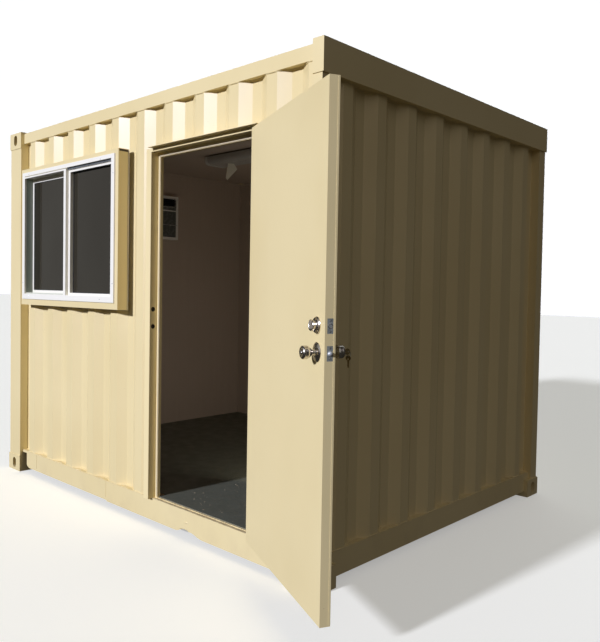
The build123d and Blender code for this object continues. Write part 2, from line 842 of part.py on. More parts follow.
def window_frame():
    """Fixed frame: flange on the box, body through it, grooved head, mullion before the fixed light.

    The head is cut back below its groove over the fixed light, where no screen runs.
    """
    body = block(
        unit_x0 + body_in, unit_x1 - body_in, flange_y, unit_back, unit_z0 + body_in, unit_z1 - body_in
    ) + block(unit_x0, unit_x1, flange_y, window_face, unit_z0, unit_z1)
    body = body - block(inner_x0, inner_x1, flange_y, unit_back, inner_z0, inner_z1)
    groove_high = unit_z1 - screen_groove_drop
    body = body - block(
        inner_x0, inner_x1, flange_y, flange_y + screen_groove_deep, groove_high - screen_groove_tall, groove_high
    )
    body = body - block(mullion_x1, inner_x1, flange_y, flange_y + head_cut_deep, inner_z1, groove_high)
    return body + block(mullion_x0, mullion_x1, flange_y, front_y, inner_z0, inner_z1)


def framed(x0, x1, front, deep, left, right, low, high):
    """Rectangular frame between two X with its own member widths: left and right stile, low and high rail."""
    outer = block(x0, x1, front, front + deep, inner_z0, inner_z1)
    return outer - block(x0 + left, x1 - right, front, front + deep, inner_z0 + low, inner_z1 - high)


def front_light():
    """Fixed right-hand light: deep bead behind the mullion."""
    return framed(
        mullion_x0, inner_x1, front_y, front_sash_thick,
        mullion_wide + front_stile, front_bead, front_sill_bead, front_head_bead,
    )


def rear_sash():
    """Sliding left-hand sash in the inner track, closed; its meeting stile lies behind the mullion."""
    right = mullion_x1 + rear_overlap
    return framed(
        inner_x0, right, rear_y, rear_sash_thick, rear_stile, right - mullion_x0, rear_rail, rear_rail
    )


def pane(x0, x1, y, low, high):
    """Glass between two X, set in its own frame's opening."""
    return block(x0, x1, y, y + pane_thick, inner_z0 + low, inner_z1 - high)


save("window_frame", window_frame())
save("window_sashes", front_light(), rear_sash())
save(
    "window_glass",
    pane(
        mullion_x1 + front_stile, inner_x1 - front_bead, front_y + front_pane_back, front_sill_bead, front_head_bead
    ),
    pane(inner_x0 + rear_stile, mullion_x0, rear_y + rear_pane_back, rear_rail, rear_rail),
)
reveal = rect_ring(
    at_x(unit_left + unit_flange), at_x(unit_left + unit_wide - unit_flange), unit_back, lining_face,
    unit_low + unit_flange, unit_low + unit_tall - unit_flange, reveal_thick,
)
save("window_reveal", reveal)

# ---- ceiling light
def light_lens():
    """Wrap-round lens below the pan: long tray with rounded bottom edges, open where the pan sits."""
    x0 = x_left + light_x
    y0 = light_y - light_wide / 2
    low = ceiling_low - light_tall
    tray = block(x0, x0 + light_long, y0, y0 + light_wide, low, ceiling_low - light_shadow_gap)
    tray = fillet(tray.edges().group_by(Axis.Z)[0], light_round)
    return tray - light_pan()


def light_pan():
    """Flat steel pan screwed to the ceiling, narrower than the lens."""
    x0 = x_left + light_x + (light_wide - light_pan_wide) / 2
    x1 = x_left + light_x + light_long - (light_wide - light_pan_wide) / 2
    y0 = light_y - light_pan_wide / 2
    return block(x0, x1, y0, y0 + light_pan_wide, ceiling_low - light_pan_tall, ceiling_low)


save("ceiling_light_base", light_pan())
save("ceiling_light_diffuser", light_lens())


# ---- wall unit on the left end lining
def wall_unit():
    """Ventilation unit housing: outlet slot with vanes above, plain band, divider and intake panel below."""
    back = x_left + lining_zone
    face = back + wall_unit_deep
    y0 = y_front + wall_unit_from_front
    y1 = y0 + wall_unit_wide
    z0, z1 = wall_unit_low, wall_unit_low + wall_unit_tall
    housing = block(back, face, y0, y1, z0, z1)
    housing = fillet(housing.edges().filter_by(Axis.X), wall_unit_round)
    in_y0, in_y1 = y0 + wall_unit_frame, y1 - wall_unit_frame
    slot_high = z1 - wall_unit_frame
    slot_low = slot_high - slot_tall
    housing = housing - block(face - slot_deep, face, in_y0, in_y1, slot_low, slot_high)
    for n in range(1, louvre_count):
        z = slot_low + n * slot_tall / louvre_count
        housing = housing + block(face - slot_deep, face - louvre_back, in_y0, in_y1, z, z + louvre_thick)
    band_low = slot_low - divider_tall - outlet_panel_tall
    housing = housing - block(face - panel_deep, face, in_y0, in_y1, band_low, slot_low - divider_tall)
    panel_high = band_low - divider_tall
    return housing - block(face - panel_deep, face, in_y0, in_y1, z0 + wall_unit_frame, panel_high)


save("wall_unit", wall_unit())
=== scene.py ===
"""Looks of the portable site cabin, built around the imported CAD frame.

Metres, in the CAD's own frame: +X to the right seen from the door side, +Y to the back, +Z up.
"""

import json
import math
import random

import bmesh
import bpy
from mathutils import Matrix, Vector


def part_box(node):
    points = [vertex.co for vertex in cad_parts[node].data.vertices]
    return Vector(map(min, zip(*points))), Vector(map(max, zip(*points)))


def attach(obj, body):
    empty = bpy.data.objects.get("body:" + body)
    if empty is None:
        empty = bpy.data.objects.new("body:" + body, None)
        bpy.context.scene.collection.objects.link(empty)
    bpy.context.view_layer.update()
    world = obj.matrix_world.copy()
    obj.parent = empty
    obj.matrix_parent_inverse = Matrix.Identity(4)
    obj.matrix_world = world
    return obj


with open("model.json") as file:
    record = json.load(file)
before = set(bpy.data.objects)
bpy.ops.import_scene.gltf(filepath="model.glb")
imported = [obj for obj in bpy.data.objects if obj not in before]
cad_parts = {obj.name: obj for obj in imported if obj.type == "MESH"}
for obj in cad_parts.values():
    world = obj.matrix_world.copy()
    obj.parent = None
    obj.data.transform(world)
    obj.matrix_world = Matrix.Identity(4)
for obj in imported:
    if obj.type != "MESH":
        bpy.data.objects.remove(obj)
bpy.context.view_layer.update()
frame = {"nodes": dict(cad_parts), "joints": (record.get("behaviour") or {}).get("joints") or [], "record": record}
nodes = frame["nodes"]
SLOT_OF = {part["node"]: part["material_slot"] for part in frame["record"]["subparts"]}
JOINTS = {joint["name"]: joint for joint in frame["joints"]}

# ---- sizes shared with the CAD
LENGTH, WIDTH, HEIGHT = 3.175, 2.438, 2.591
X_LEFT, X_RIGHT = -LENGTH / 2, LENGTH / 2
WALL_SETBACK = 0.030
CORRUGATION_DEPTH = 0.036
CORRUGATION_PITCH = 0.278
OUTER_FLAT, INNER_FLAT = 0.072, 0.070
END_CREST = 0.186
CASTING_X, CASTING_Y, CASTING_Z = 0.178, 0.162, 0.118
POST_SIDE_RECESS, POST_END_RECESS = 0.003, 0.012
OPEN_ANGLE = math.radians(154.0)
LEAF_THICK, LEAF_WIDE = 0.044, 0.923
PIVOT_OUT, HALF_HINGE_GAP = 0.0095, 0.003
BACKSET = 0.070
BOLT_ABOVE_KNOB = 0.102
KNOB_REACH, BOLT_ROSE_THICK = 0.064, 0.008
EDGE_PLATE_TALL = 0.057
REBATE_DEEP, STOP_WIDE, JAMB_FACE = 0.051, 0.025, 0.048
SIDE_FACE, HEAD_FACE, SILL_FACE = 0.036, 0.042, 0.038
SCREEN_GROOVE_DROP, HEAD_CUT_DEEP = 0.026, 0.014
MULLION_LEFT, MULLION_WIDE = 0.606, 0.029
FRONT_TRACK, FRONT_STILE, FRONT_BEAD, FRONT_HEAD_BEAD, FRONT_SILL_BEAD = 0.020, 0.025, 0.010, 0.015, 0.016
FRONT_PANE_BACK = 0.026
REAR_TRACK, REAR_STILE, REAR_RAIL, REAR_PANE_BACK = 0.062, 0.023, 0.028, 0.005
UNIT_FRAME, UNIT_SLOT_TALL, UNIT_DIVIDER, UNIT_OUTLET, UNIT_PANEL_DEEP = 0.022, 0.068, 0.009, 0.028, 0.006
UNIT_SLOT_DEEP, UNIT_VANES, UNIT_VANE_THICK, UNIT_VANE_BACK = 0.030, 4, 0.003, 0.005


# ---- materials
class Shade:
    """A material under construction, patterned by the object's own coordinates."""

    def __init__(self, name, colour, roughness, metallic=0.0):
        self.material = bpy.data.materials.new(name)
        self.material.use_nodes = True
        self.material.diffuse_color = (*colour, 1.0)
        self.tree = self.material.node_tree
        self.bsdf = self.tree.nodes["Principled BSDF"]
        self.set("Base Color", (*colour, 1.0))
        self.set("Roughness", roughness)
        self.set("Metallic", metallic)
        self.place = self.tree.nodes.new("ShaderNodeTexCoord").outputs["Object"]

    def set(self, socket, value):
        self.bsdf.inputs[socket].default_value = value

    def wire(self, value, socket):
        """Put a number, a colour or another node's output into a socket."""
        if isinstance(value, bpy.types.NodeSocket):
            self.tree.links.new(value, socket)
        elif isinstance(value, (tuple, list)) and len(value) == 3 and socket.type == "RGBA":
            socket.default_value = (*value, 1.0)
        else:
            socket.default_value = value

    def stretched(self, stretch):
        mapping = self.tree.nodes.new("ShaderNodeMapping")
        self.wire(self.place, mapping.inputs["Vector"])
        mapping.inputs["Scale"].default_value = stretch
        return mapping.outputs["Vector"]

    def noise(self, scale, detail=2.0, stretch=(1, 1, 1), warp=0.0):
        node = self.tree.nodes.new("ShaderNodeTexNoise")
        self.wire(self.stretched(stretch), node.inputs["Vector"])
        node.inputs["Scale"].default_value = scale
        node.inputs["Detail"].default_value = detail
        node.inputs["Distortion"].default_value = warp
        return node.outputs["Fac"]

    def cells(self, scale, stretch=(1, 1, 1), feature="F1"):
        node = self.tree.nodes.new("ShaderNodeTexVoronoi")
        node.feature = feature
        self.wire(self.stretched(stretch), node.inputs["Vector"])
        node.inputs["Scale"].default_value = scale
        return node.outputs["Distance"]

    def band(self, value, low, high, start=0.0, end=1.0):
        """Map low..high onto start..end, held flat outside."""
        node = self.tree.nodes.new("ShaderNodeMapRange")
        node.interpolation_type = "SMOOTHSTEP"
        self.wire(value, node.inputs["Value"])
        for socket, number in (("From Min", low), ("From Max", high), ("To Min", start), ("To Max", end)):
            node.inputs[socket].default_value = number
        return node.outputs["Result"]

    def maths(self, kind, a, b=0.0):
        node = self.tree.nodes.new("ShaderNodeMath")
        node.operation = kind
        self.wire(a, node.inputs[0])
        self.wire(b, node.inputs[1])
        return node.outputs[0]

    def axis(self, name):
        node = self.tree.nodes.new("ShaderNodeSeparateXYZ")
        self.wire(self.place, node.inputs[0])
        return node.outputs[name]

    def mix(self, share, a, b):
        node = self.tree.nodes.new("ShaderNodeMix")
        node.data_type = "RGBA"
        self.wire(share, node.inputs["Factor"])
        self.wire(a, node.inputs[6])
        self.wire(b, node.inputs[7])
        return node.outputs[2]

    def colour(self, value):
        self.wire(value, self.bsdf.inputs["Base Color"])

    def rough(self, value):
        self.wire(value, self.bsdf.inputs["Roughness"])

    def bumps(self, *layers):
        """Stack (height, depth in metres) layers of relief."""
        normal = None
        for height, depth in layers:
            node = self.tree.nodes.new("ShaderNodeBump")
            node.inputs["Distance"].default_value = depth
            self.wire(height, node.inputs["Height"])
            if normal is not None:
                self.wire(normal, node.inputs["Normal"])
            normal = node.outputs["Normal"]
        self.wire(normal, self.bsdf.inputs["Normal"])


CREAM = (0.800, 0.655, 0.332)
CREAM_PALE = (0.812, 0.669, 0.343)
CREAM_DEEP = (0.778, 0.632, 0.312)
DUST = (0.420, 0.310, 0.180)
RUST = (0.190, 0.070, 0.025)


def paint(name, roughness, dust_top, speck_share, wave_depth, lift=1.0):
    """Gloss enamel on steel: faint tone drift, runs, dust near the ground, rust specks, orange peel; lift scales
    all tones lighter, as painted light.
    """
    pale, plain, deep = (tuple(c * lift for c in tint) for tint in (CREAM_PALE, CREAM, CREAM_DEEP))
    s = Shade(name, plain, roughness)
    tone = s.mix(s.band(s.noise(1.1, 3), 0.35, 0.65), deep, pale)
    runs = s.band(s.noise(7, 2, (1, 1, 0.06)), 0.50, 0.80, 0.0, 0.22)
    tone = s.mix(runs, tone, deep)
    low_down = s.band(s.axis("Z"), 0.03, dust_top, 0.14, 0.0)
    patches = s.band(s.noise(9, 5, (1, 1, 0.7)), 0.42, 0.80)
    tone = s.mix(s.maths("MULTIPLY", low_down, patches), tone, DUST)
    specks = s.band(s.noise(120, 2), 0.76 - speck_share, 0.79 - speck_share)
    specks = s.maths("MULTIPLY", specks, s.band(s.noise(6, 2), 0.52, 0.66))
    tone = s.mix(specks, tone, RUST)
    s.colour(tone)
    s.rough(s.band(s.noise(4, 3, (1, 1, 0.4)), 0.3, 0.7, roughness - 0.03, roughness + 0.05))
    s.set("Specular IOR Level", 0.48)
    s.bumps((s.noise(2.2, 1, (1, 1, 0.5)), wave_depth), (s.noise(420, 2), 0.00012))
    return s.material


def bare_metal(name, colour, roughness, grain, metallic=1.0):
    """Brushed or cast metal with fine lines along the stretched axis and duller smears."""
    s = Shade(name, colour, roughness, metallic)
    dull = tuple(c * 0.72 for c in colour)
    s.colour(s.mix(s.band(s.noise(35, 4), 0.4, 0.7), colour, dull))
    s.rough(s.band(s.noise(90, 3), 0.3, 0.7, roughness * 0.8, roughness * 1.35))
    s.bumps((s.noise(900, 2, grain), 0.00006))
    return s.material


def threshold_metal():
    """Bare metal strip under the door: polished by feet, with rusty and grey specks trodden in."""
    s = Shade("threshold_metal", (0.76, 0.62, 0.33), 0.5, 0.1)
    streaks = s.band(s.noise(45, 5, (0.25, 1, 1), 0.8), 0.42, 0.66)
    worn = s.mix(streaks, (0.80, 0.66, 0.35), (0.62, 0.49, 0.25))
    rusty = s.mix(s.band(s.noise(210, 2), 0.60, 0.68), worn, (0.34, 0.20, 0.10))
    s.colour(s.mix(s.band(s.cells(170), 0.10, 0.20, 0.85, 0.0), rusty, (0.24, 0.24, 0.23)))
    s.rough(s.band(s.noise(80, 3), 0.3, 0.7, 0.36, 0.62))
    s.bumps((s.noise(150, 4, (0.2, 1, 1)), 0.0004))
    return s.material


def plywood():
    s = Shade("deck_wood", (0.36, 0.24, 0.13), 0.75)
    grain = s.noise(30, 6, (0.06, 1, 1), 1.2)
    s.colour(s.mix(s.band(grain, 0.35, 0.65), (0.42, 0.29, 0.16), (0.22, 0.13, 0.06)))
    s.bumps((grain, 0.0006))
    return s.material


def cardboard():
    s = Shade("door_core", (0.34, 0.23, 0.12), 0.9)
    walls = s.band(s.cells(45, feature="DISTANCE_TO_EDGE"), 0.02, 0.08)
    s.colour(s.mix(walls, (0.42, 0.30, 0.17), (0.22, 0.14, 0.07)))
    s.bumps((s.noise(300, 3), 0.0004))
    return s.material


def slate_floor():
    """Smooth sheet flooring, dark slate with a fine marbled fleck and a few pale crumbs trodden in."""
    s = Shade("floor_vinyl", (0.118, 0.124, 0.090), 0.5)
    marbling = s.band(s.noise(110, 4, (1, 1, 1), 1.5), 0.42, 0.62)
    fleck = s.mix(marbling, (0.108, 0.113, 0.082), (0.128, 0.134, 0.099))
    dusty = s.band(s.noise(3, 3), 0.45, 0.75, 0.0, 0.10)
    fleck = s.mix(dusty, fleck, (0.17, 0.16, 0.12))
    spots = s.band(s.cells(38), 0.055, 0.075, 1.0, 0.0)
    crumbs = s.maths("MULTIPLY", spots, s.band(s.noise(7, 2), 0.55, 0.62))
    s.colour(s.mix(crumbs, fleck, (0.26, 0.25, 0.21)))
    s.rough(s.band(s.noise(12, 3), 0.3, 0.7, 0.42, 0.60))
    s.bumps((s.noise(500, 2), 0.00012))
    return s.material


def panelling():
    """Faced board, grey-brown, with a very faint upright grain under its skin."""
    s = Shade("lining", (0.53, 0.432, 0.345), 0.62)
    grain = s.noise(55, 4, (1, 1, 0.03), 0.4)
    board = s.mix(s.band(grain, 0.35, 0.68), (0.530, 0.432, 0.345), (0.515, 0.418, 0.333))
    s.colour(s.mix(s.band(s.noise(2.5, 3), 0.45, 0.80, 0.0, 0.3), board, (0.48, 0.39, 0.305)))
    s.rough(s.band(s.noise(20, 3), 0.3, 0.7, 0.60, 0.72))
    s.bumps((grain, 0.00004))
    return s.material


def moulded(name, colour, roughness, grime):
    """Painted or moulded white-ish surface with a fine skin and grime gathered in soft patches."""
    s = Shade(name, colour, roughness)
    dirty = tuple(c * k for c, k in zip(colour, (0.70, 0.68, 0.60)))
    s.colour(s.mix(s.band(s.noise(11, 5, (1, 1, 0.4)), 0.50, 0.85, 0.0, grime), colour, dirty))
    s.rough(s.band(s.noise(30, 3), 0.3, 0.7, roughness - 0.06, roughness + 0.10))
    s.bumps((s.noise(700, 2), 0.00008))
    return s.material


def glass_with_painted_room_shade():
    """Opaque pane coloured near-black as painted shade for the dim room behind it, faintly streaked from cleaning.
    """
    s = Shade("pane", (0.026, 0.022, 0.014), 0.05)
    smear = s.noise(3, 3, (1, 1, 0.4))
    s.colour(s.mix(s.band(smear, 0.35, 0.75), (0.024, 0.020, 0.013), (0.031, 0.027, 0.018)))
    s.rough(s.band(smear, 0.3, 0.8, 0.04, 0.09))
    s.set("IOR", 1.5)
    return s.material


def rubber(name, colour):
    s = Shade(name, colour, 0.7)
    s.colour(s.mix(s.band(s.noise(40, 4), 0.4, 0.7), colour, tuple(c * 1.7 for c in colour)))
    s.bumps((s.noise(300, 3), 0.0002))
    return s.material


MATERIALS = {
    "frame_paint": paint("frame_paint", 0.38, 0.30, 0.01, 0.0006),
    "wall_paint": paint("wall_paint", 0.35, 0.40, 0.0, 0.0022),
    # The door's paint is lifted 6 % lighter: painted light standing in for the light the swung-open leaf misses at
    # its angle.
    "door_paint": paint("door_paint", 0.45, 0.20, -0.02, 0.0008, 1.06),
    "threshold_metal": threshold_metal(),
    "door_core": cardboard(),
    "deck_wood": plywood(),
    "floor_vinyl": slate_floor(),
    "lining": panelling(),
    "hinge_steel": bare_metal("hinge_steel", (0.50, 0.47, 0.42), 0.42, (1, 1, 0.1)),
    "lock_chrome": bare_metal("lock_chrome", (0.66, 0.61, 0.54), 0.20, (1, 1, 1)),
    "window_white": moulded("window_white", (0.90, 0.86, 0.71), 0.35, 0.12),
    "window_reveal": moulded("window_reveal", (0.30, 0.29, 0.27), 0.6, 0.8),
    "pane": glass_with_painted_room_shade(),
    "light_body": moulded("light_body", (0.62, 0.60, 0.55), 0.45, 0.6),
    "light_lens": moulded("light_lens", (0.46, 0.44, 0.40), 0.34, 0.5),
    "unit_plastic": moulded("unit_plastic", (0.90, 0.87, 0.80), 0.45, 0.3),
}
WELD = paint("weld_paint", 0.40, 0.42, 0.03, 0.0010)
SEALANT = moulded("sealant", (0.72, 0.64, 0.46), 0.55, 0.7)
# black rubber for the pane gaskets; also painted shade for the deadbolt's hole
GASKET_AND_HOLE_SHADE = rubber("gasket_rubber_and_hole_shade", (0.020, 0.021, 0.022))
# dark slate: the sash catch's own colour, and painted shade in the window head
SLATE_CATCH_AND_SHADE = rubber("slate_catch_and_painted_shade", (0.070, 0.076, 0.070))
# grey-green painted shade for the window frame's shaded left return
JAMB_SHADE_GREY = moulded("jamb_painted_shade", (0.30, 0.34, 0.28), 0.5, 0.4)
# grey for the sill's track ribs: painted shade
SILL_TRACK_SHADE = moulded("sill_track_painted_shade", (0.60, 0.60, 0.47), 0.5, 0.4)
DARK_BROWN = rubber("dark_brown", (0.045, 0.032, 0.020))
PAINTED_SEAL = moulded("painted_seal", (0.66, 0.55, 0.34), 0.6, 0.3)
UNIT_SHADE = rubber("unit_shade", (0.115, 0.120, 0.105))
UNIT_BLACK = rubber("unit_black", (0.008, 0.009, 0.007))
PALE_SEAL = rubber("pale_seal", (0.38, 0.38, 0.36))
ZINC = bare_metal("zinc_plate", (0.52, 0.53, 0.50), 0.38, (1, 1, 0.2))
# duller, darker steel for the chrome edge plates: painted dark reflection
PLATE_STEEL_PAINTED_REFLECTION = bare_metal("plate_steel_painted_reflection", (0.36, 0.38, 0.34), 0.45, (1, 1, 0.2), 0.4)
BOLT_STEEL = bare_metal("bolt_steel", (0.78, 0.80, 0.78), 0.34, (1, 1, 1), 0.4)
BRASS = bare_metal("key_brass", (0.45, 0.33, 0.15), 0.35, (1, 1, 1))
FLAKE = rubber("paint_flake", (0.30, 0.24, 0.15))

# The door's edge plates take the darker steel in place of the lock chrome, as a painted dark reflection.
for node_name, node_object in nodes.items():
    if not node_object.material_slots:
        node_object.data.materials.append(None)
    for slot in node_object.material_slots:
        slot.material = PLATE_STEEL_PAINTED_REFLECTION if node_name == "door_edge_plates" else MATERIALS[SLOT_OF[node_name]]


# ---- mesh helpers
SHARP_ANGLE = math.radians(38)


def piece(name, mesh_data, material, body, smooth=True):
    """Turn (vertices, faces) in the row frame into an object that rides on a body."""
    vertices, faces = mesh_data
    mesh = bpy.data.meshes.new(name)
    mesh.from_pydata([tuple(v) for v in vertices], [], faces)
    work = bmesh.new()
    work.from_mesh(mesh)
    bmesh.ops.recalc_face_normals(work, faces=work.faces)
    work.to_mesh(mesh)
    work.free()
    mesh.materials.append(material)
    if smooth:
        mesh.shade_smooth()
        mesh.set_sharp_from_angle(angle=SHARP_ANGLE)
    made = bpy.data.objects.new(name, mesh)
    bpy.context.scene.collection.objects.link(made)
    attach(made, body)


def joined(parts):
    """Several (vertices, faces) lists as one."""
    vertices, faces = [], []
    for part_vertices, part_faces in parts:
        base = len(vertices)
        vertices += part_vertices
        faces += [tuple(base + i for i in face) for face in part_faces]
    return vertices, faces


def placed(mesh_data, matrix):
    vertices, faces = mesh_data
    return [matrix @ Vector(v) for v in vertices], faces


def swept(path, radius, sides=6, flat=1.0, wobble=0.0, seed=1, closed=False, up=Vector((0, 0, 1))):
    """Tube along a path, its width uneven by wobble, pressed by flat across the up direction."""
    rng = random.Random(seed)
    points = [Vector(p) for p in path]
    count = len(points)
    vertices, faces = [], []
    for i, point in enumerate(points):
        before = points[(i - 1) % count] if closed or i else point
        after = points[(i + 1) % count] if closed or i < count - 1 else point
        along = (after - before).normalized()
        side = along.cross(up)
        side = side.normalized() if side.length > 1e-6 else Vector((1, 0, 0))
        lift = side.cross(along).normalized()
        size = radius * (1 + wobble * (rng.random() - 0.5) * 2)
        for k in range(sides):
            turn = 2 * math.pi * k / sides
            vertices.append(point + side * size * math.cos(turn) + lift * size * flat * math.sin(turn))
    rings = count if closed else count - 1
    for i in range(rings):
        here, there = i * sides, ((i + 1) % count) * sides
        for k in range(sides):
            faces.append((here + k, here + (k + 1) % sides, there + (k + 1) % sides, there + k))
    if not closed:
        faces.append(tuple(range(sides)))
        faces.append(tuple((count - 1) * sides + k for k in reversed(range(sides))))
    return vertices, faces


def turned(profile, sides=40):
    """Solid of revolution about +Z from (radius, height) points, closed at both ends."""
    vertices, faces = [], []
    rings = []
    for radius, height in profile:
        if radius < 1e-6:
            rings.append([len(vertices)])
            vertices.append(Vector((0, 0, height)))
        else:
            rings.append(list(range(len(vertices), len(vertices) + sides)))
            for k in range(sides):
                turn = 2 * math.pi * k / sides
                vertices.append(Vector((radius * math.cos(turn), radius * math.sin(turn), height)))
    for low, high in zip(rings, rings[1:]):
        for k in range(sides):
            a, b = low[k % len(low)], low[(k + 1) % len(low)]
            c, d = high[(k + 1) % len(high)], high[k % len(high)]
            corners = [a]
            for corner in (b, c, d):
                if corner not in corners:
                    corners.append(corner)
            if len(corners) > 2:
                faces.append(tuple(corners))
    for ring in (rings[0], rings[-1]):
        if len(ring) > 1:
            faces.append(tuple(ring))
    return vertices, faces


def rounded_box(low, high, radius, steps=2):
    """Box with rounded edges, by a small bevel of its twelve edges."""
    work = bmesh.new()
    bmesh.ops.create_cube(work, size=1.0)
    size = Vector(high) - Vector(low)
    centre = (Vector(high) + Vector(low)) / 2
    for v in work.verts:
        v.co = centre + Vector(tuple(c * s for c, s in zip(v.co, size)))
    reach = min(radius, min(size) * 0.49)
    bmesh.ops.bevel(work, geom=list(work.edges), offset=reach, segments=steps, profile=0.5, affect="EDGES")
    vertices = [v.co.copy() for v in work.verts]
    faces = [tuple(v.index for v in f.verts) for f in work.faces]
    work.free()
    return vertices, faces


def extruded(outline, offset):
    """Prism from a flat loop of points, carried along an offset."""
    count = len(outline)
    near = [Vector(p) for p in outline]
    vertices = near + [p + Vector(offset) for p in near]
    faces = [tuple(range(count)), tuple(range(2 * count - 1, count - 1, -1))]
    faces += [(i, (i + 1) % count, (i + 1) % count + count, i + count) for i in range(count)]
    return vertices, faces


def smooth_path(corners, radius, steps=3, closed=False):
    """Corners joined by short arcs of that radius."""
    points = [Vector(c) for c in corners]
    count = len(points)
    path = []
    for i, corner in enumerate(points):
        if not closed and i in (0, count - 1):
            path.append(corner)
            continue
        before, after = points[(i - 1) % count], points[(i + 1) % count]
        back, ahead = before - corner, after - corner
        reach = min(radius, back.length / 2.1, ahead.length / 2.1)
        start, end = corner + back.normalized() * reach, corner + ahead.normalized() * reach
        for k in range(steps + 1):
            t = k / steps
            path.append((1 - t) ** 2 * start + 2 * t * (1 - t) * corner + t * t * end)
    return path


def divided(path, step):
    """The same path with a point at least every step."""
    out = [Vector(path[0])]
    for a, b in zip(path, path[1:]):
        a, b = Vector(a), Vector(b)
        parts = max(1, math.ceil((b - a).length / step))
        out += [a.lerp(b, (k + 1) / parts) for k in range(parts)]
    return out


# ---- corrugation line
def wave(start, stop, first):
    """(along, in) corners of a corrugated sheet from start to stop; a crest begins at first + n pitches."""
    slope = (CORRUGATION_PITCH - OUTER_FLAT - INNER_FLAT) / 2
    corners = []
    low = math.floor((start - first) / CORRUGATION_PITCH) - 1
    high = math.ceil((stop - first) / CORRUGATION_PITCH) + 1
    for n in range(low, high):
        crest = first + n * CORRUGATION_PITCH
        corners += [
            (crest, 0),
            (crest + OUTER_FLAT, 0),
            (crest + OUTER_FLAT + slope, CORRUGATION_DEPTH),
            (crest + CORRUGATION_PITCH - slope, CORRUGATION_DEPTH),
        ]

    def depth(s):
        for (s0, d0), (s1, d1) in zip(corners, corners[1:]):
            if s0 <= s <= s1:
                return d0 + (d1 - d0) * (s - s0) / (s1 - s0)
        return 0

    return [(start, depth(start))] + [(s, d) for s, d in corners if start < s < stop] + [(stop, depth(stop))]


def on_front(s, d, z):
    return Vector((X_LEFT + s, -WIDTH / 2 + WALL_SETBACK + d, z))


def on_rear(s, d, z):
    return Vector((X_LEFT + s, WIDTH / 2 - WALL_SETBACK - d, z))


def on_left(s, d, z):
    return Vector((X_LEFT + WALL_SETBACK + d, -WIDTH / 2 + s, z))


def on_right(s, d, z):
    return Vector((X_RIGHT - WALL_SETBACK - d, -WIDTH / 2 + s, z))


def seam(spot, start, stop, first, z, seed):
    """Weld along the foot or head of a corrugated sheet, on its outer side."""
    line = [spot(s, d - SEAM_OUT, z) for s, d in wave(start, stop, first)]
    return swept(divided(smooth_path(line, 0.024, 5), 0.03), SEAM_RADIUS, 6, 0.85, 0.16, seed)


def bead(path, step, radius, flat, wobble, seed, up=Vector((0, 0, 1))):
    """Uneven six-sided bead along a path that is divided at every step."""
    return swept(divided(path, step), radius, 6, flat, wobble, seed, up=up)


def upright(x, y, low, high, radius, seed):
    """Vertical bead."""
    return bead([(x, y, low), (x, y, high)], 0.05, radius, 1.0, 0.25, seed, up=Vector((0, 1, 0)))


# ---- welds along the foot and head of the corrugated sheets
rail_low, rail_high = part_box("bottom_rails")
sill_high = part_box("end_sills")[1]
top_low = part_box("top_rails")[0]
fascia_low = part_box("header_right")[0]
left_wall_low, left_wall_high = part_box("wall_left_end")
right_wall_low, right_wall_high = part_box("wall_right_end")
front_left_low, front_left_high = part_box("wall_front_left")
front_right_low, front_right_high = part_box("wall_front_right")

SEAM_RADIUS, SEAM_OUT, WELD_RADIUS, LIFT = 0.0046, 0.001, 0.0034, 0.0016
foot_z = rail_high.z + LIFT
head_z = top_low.z - LIFT
door_left_s = front_left_high.x - X_LEFT
door_right_s = front_right_low.x - X_LEFT
side_start_s = front_left_low.x - X_LEFT
side_stop_s = front_right_high.x - X_LEFT
end_start_s = left_wall_low.y + WIDTH / 2
end_stop_s = left_wall_high.y + WIDTH / 2
right_start_s = right_wall_low.y + WIDTH / 2
right_stop_s = right_wall_high.y + WIDTH / 2

for name, *runs in (
    ("seam_front_foot",
     (on_front, side_start_s, door_left_s, 0, foot_z, 1),
     (on_front, door_right_s, side_stop_s, 0, foot_z, 2)),
    ("seam_front_head", (on_front, side_start_s, side_stop_s, 0, head_z, 3)),
    ("seam_rear",
     (on_rear, side_start_s, side_stop_s, 0, foot_z, 4), (on_rear, side_start_s, side_stop_s, 0, head_z, 5)),
    ("seam_left_end",
     (on_left, end_start_s, end_stop_s, END_CREST, sill_high.z + LIFT, 6),
     (on_left, end_start_s, end_stop_s, END_CREST, head_z, 7)),
    ("seam_right_end",
     (on_right, right_start_s, right_stop_s, END_CREST, sill_high.z + LIFT, 8),
     (on_right, right_start_s, right_stop_s, END_CREST, fascia_low.z - LIFT, 9)),
):
    piece(name, joined([seam(*run) for run in runs]), WELD, "cabin")


# ---- window fittings
frame_low, frame_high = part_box("window_frame")
box_low, box_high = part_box("window_box")


def loop(x0, x1, z0, z1, y, radius, sides=6, seed=1, wobble=0.0):
    """Closed bead round a rectangle that faces the front."""
    corners = [(x0, y, z0), (x1, y, z0), (x1, y, z1), (x0, y, z1)]
    path = smooth_path(corners, radius * 2, 3, closed=True)
    return swept(path, radius, sides, 1.0, wobble, seed, closed=True, up=Vector((0, 1, 0)))


piece("window_frame_sealant", loop(
    frame_low.x, frame_high.x, frame_low.z, frame_high.z, box_low.y, 0.0025, 8, 11, 0.15
), SEALANT, "cabin")


def screw(radius=0.0042, dome=0.0018):
    """Pan-head screw lying on +Z with a round recess in its dome."""
    return turned([
        (0, dome * 0.55), (radius * 0.28, dome * 0.6), (radius * 0.34, dome), (radius * 0.75, dome * 0.85),
        (radius, dome * 0.3), (radius, 0), (0, 0),
    ], 16)


def facing(point, direction):
    """Matrix that puts +Z along direction at point."""
    turn = Vector(direction).normalized().to_track_quat("Z", "Y").to_matrix().to_4x4()
    return Matrix.Translation(Vector(point)) @ turn


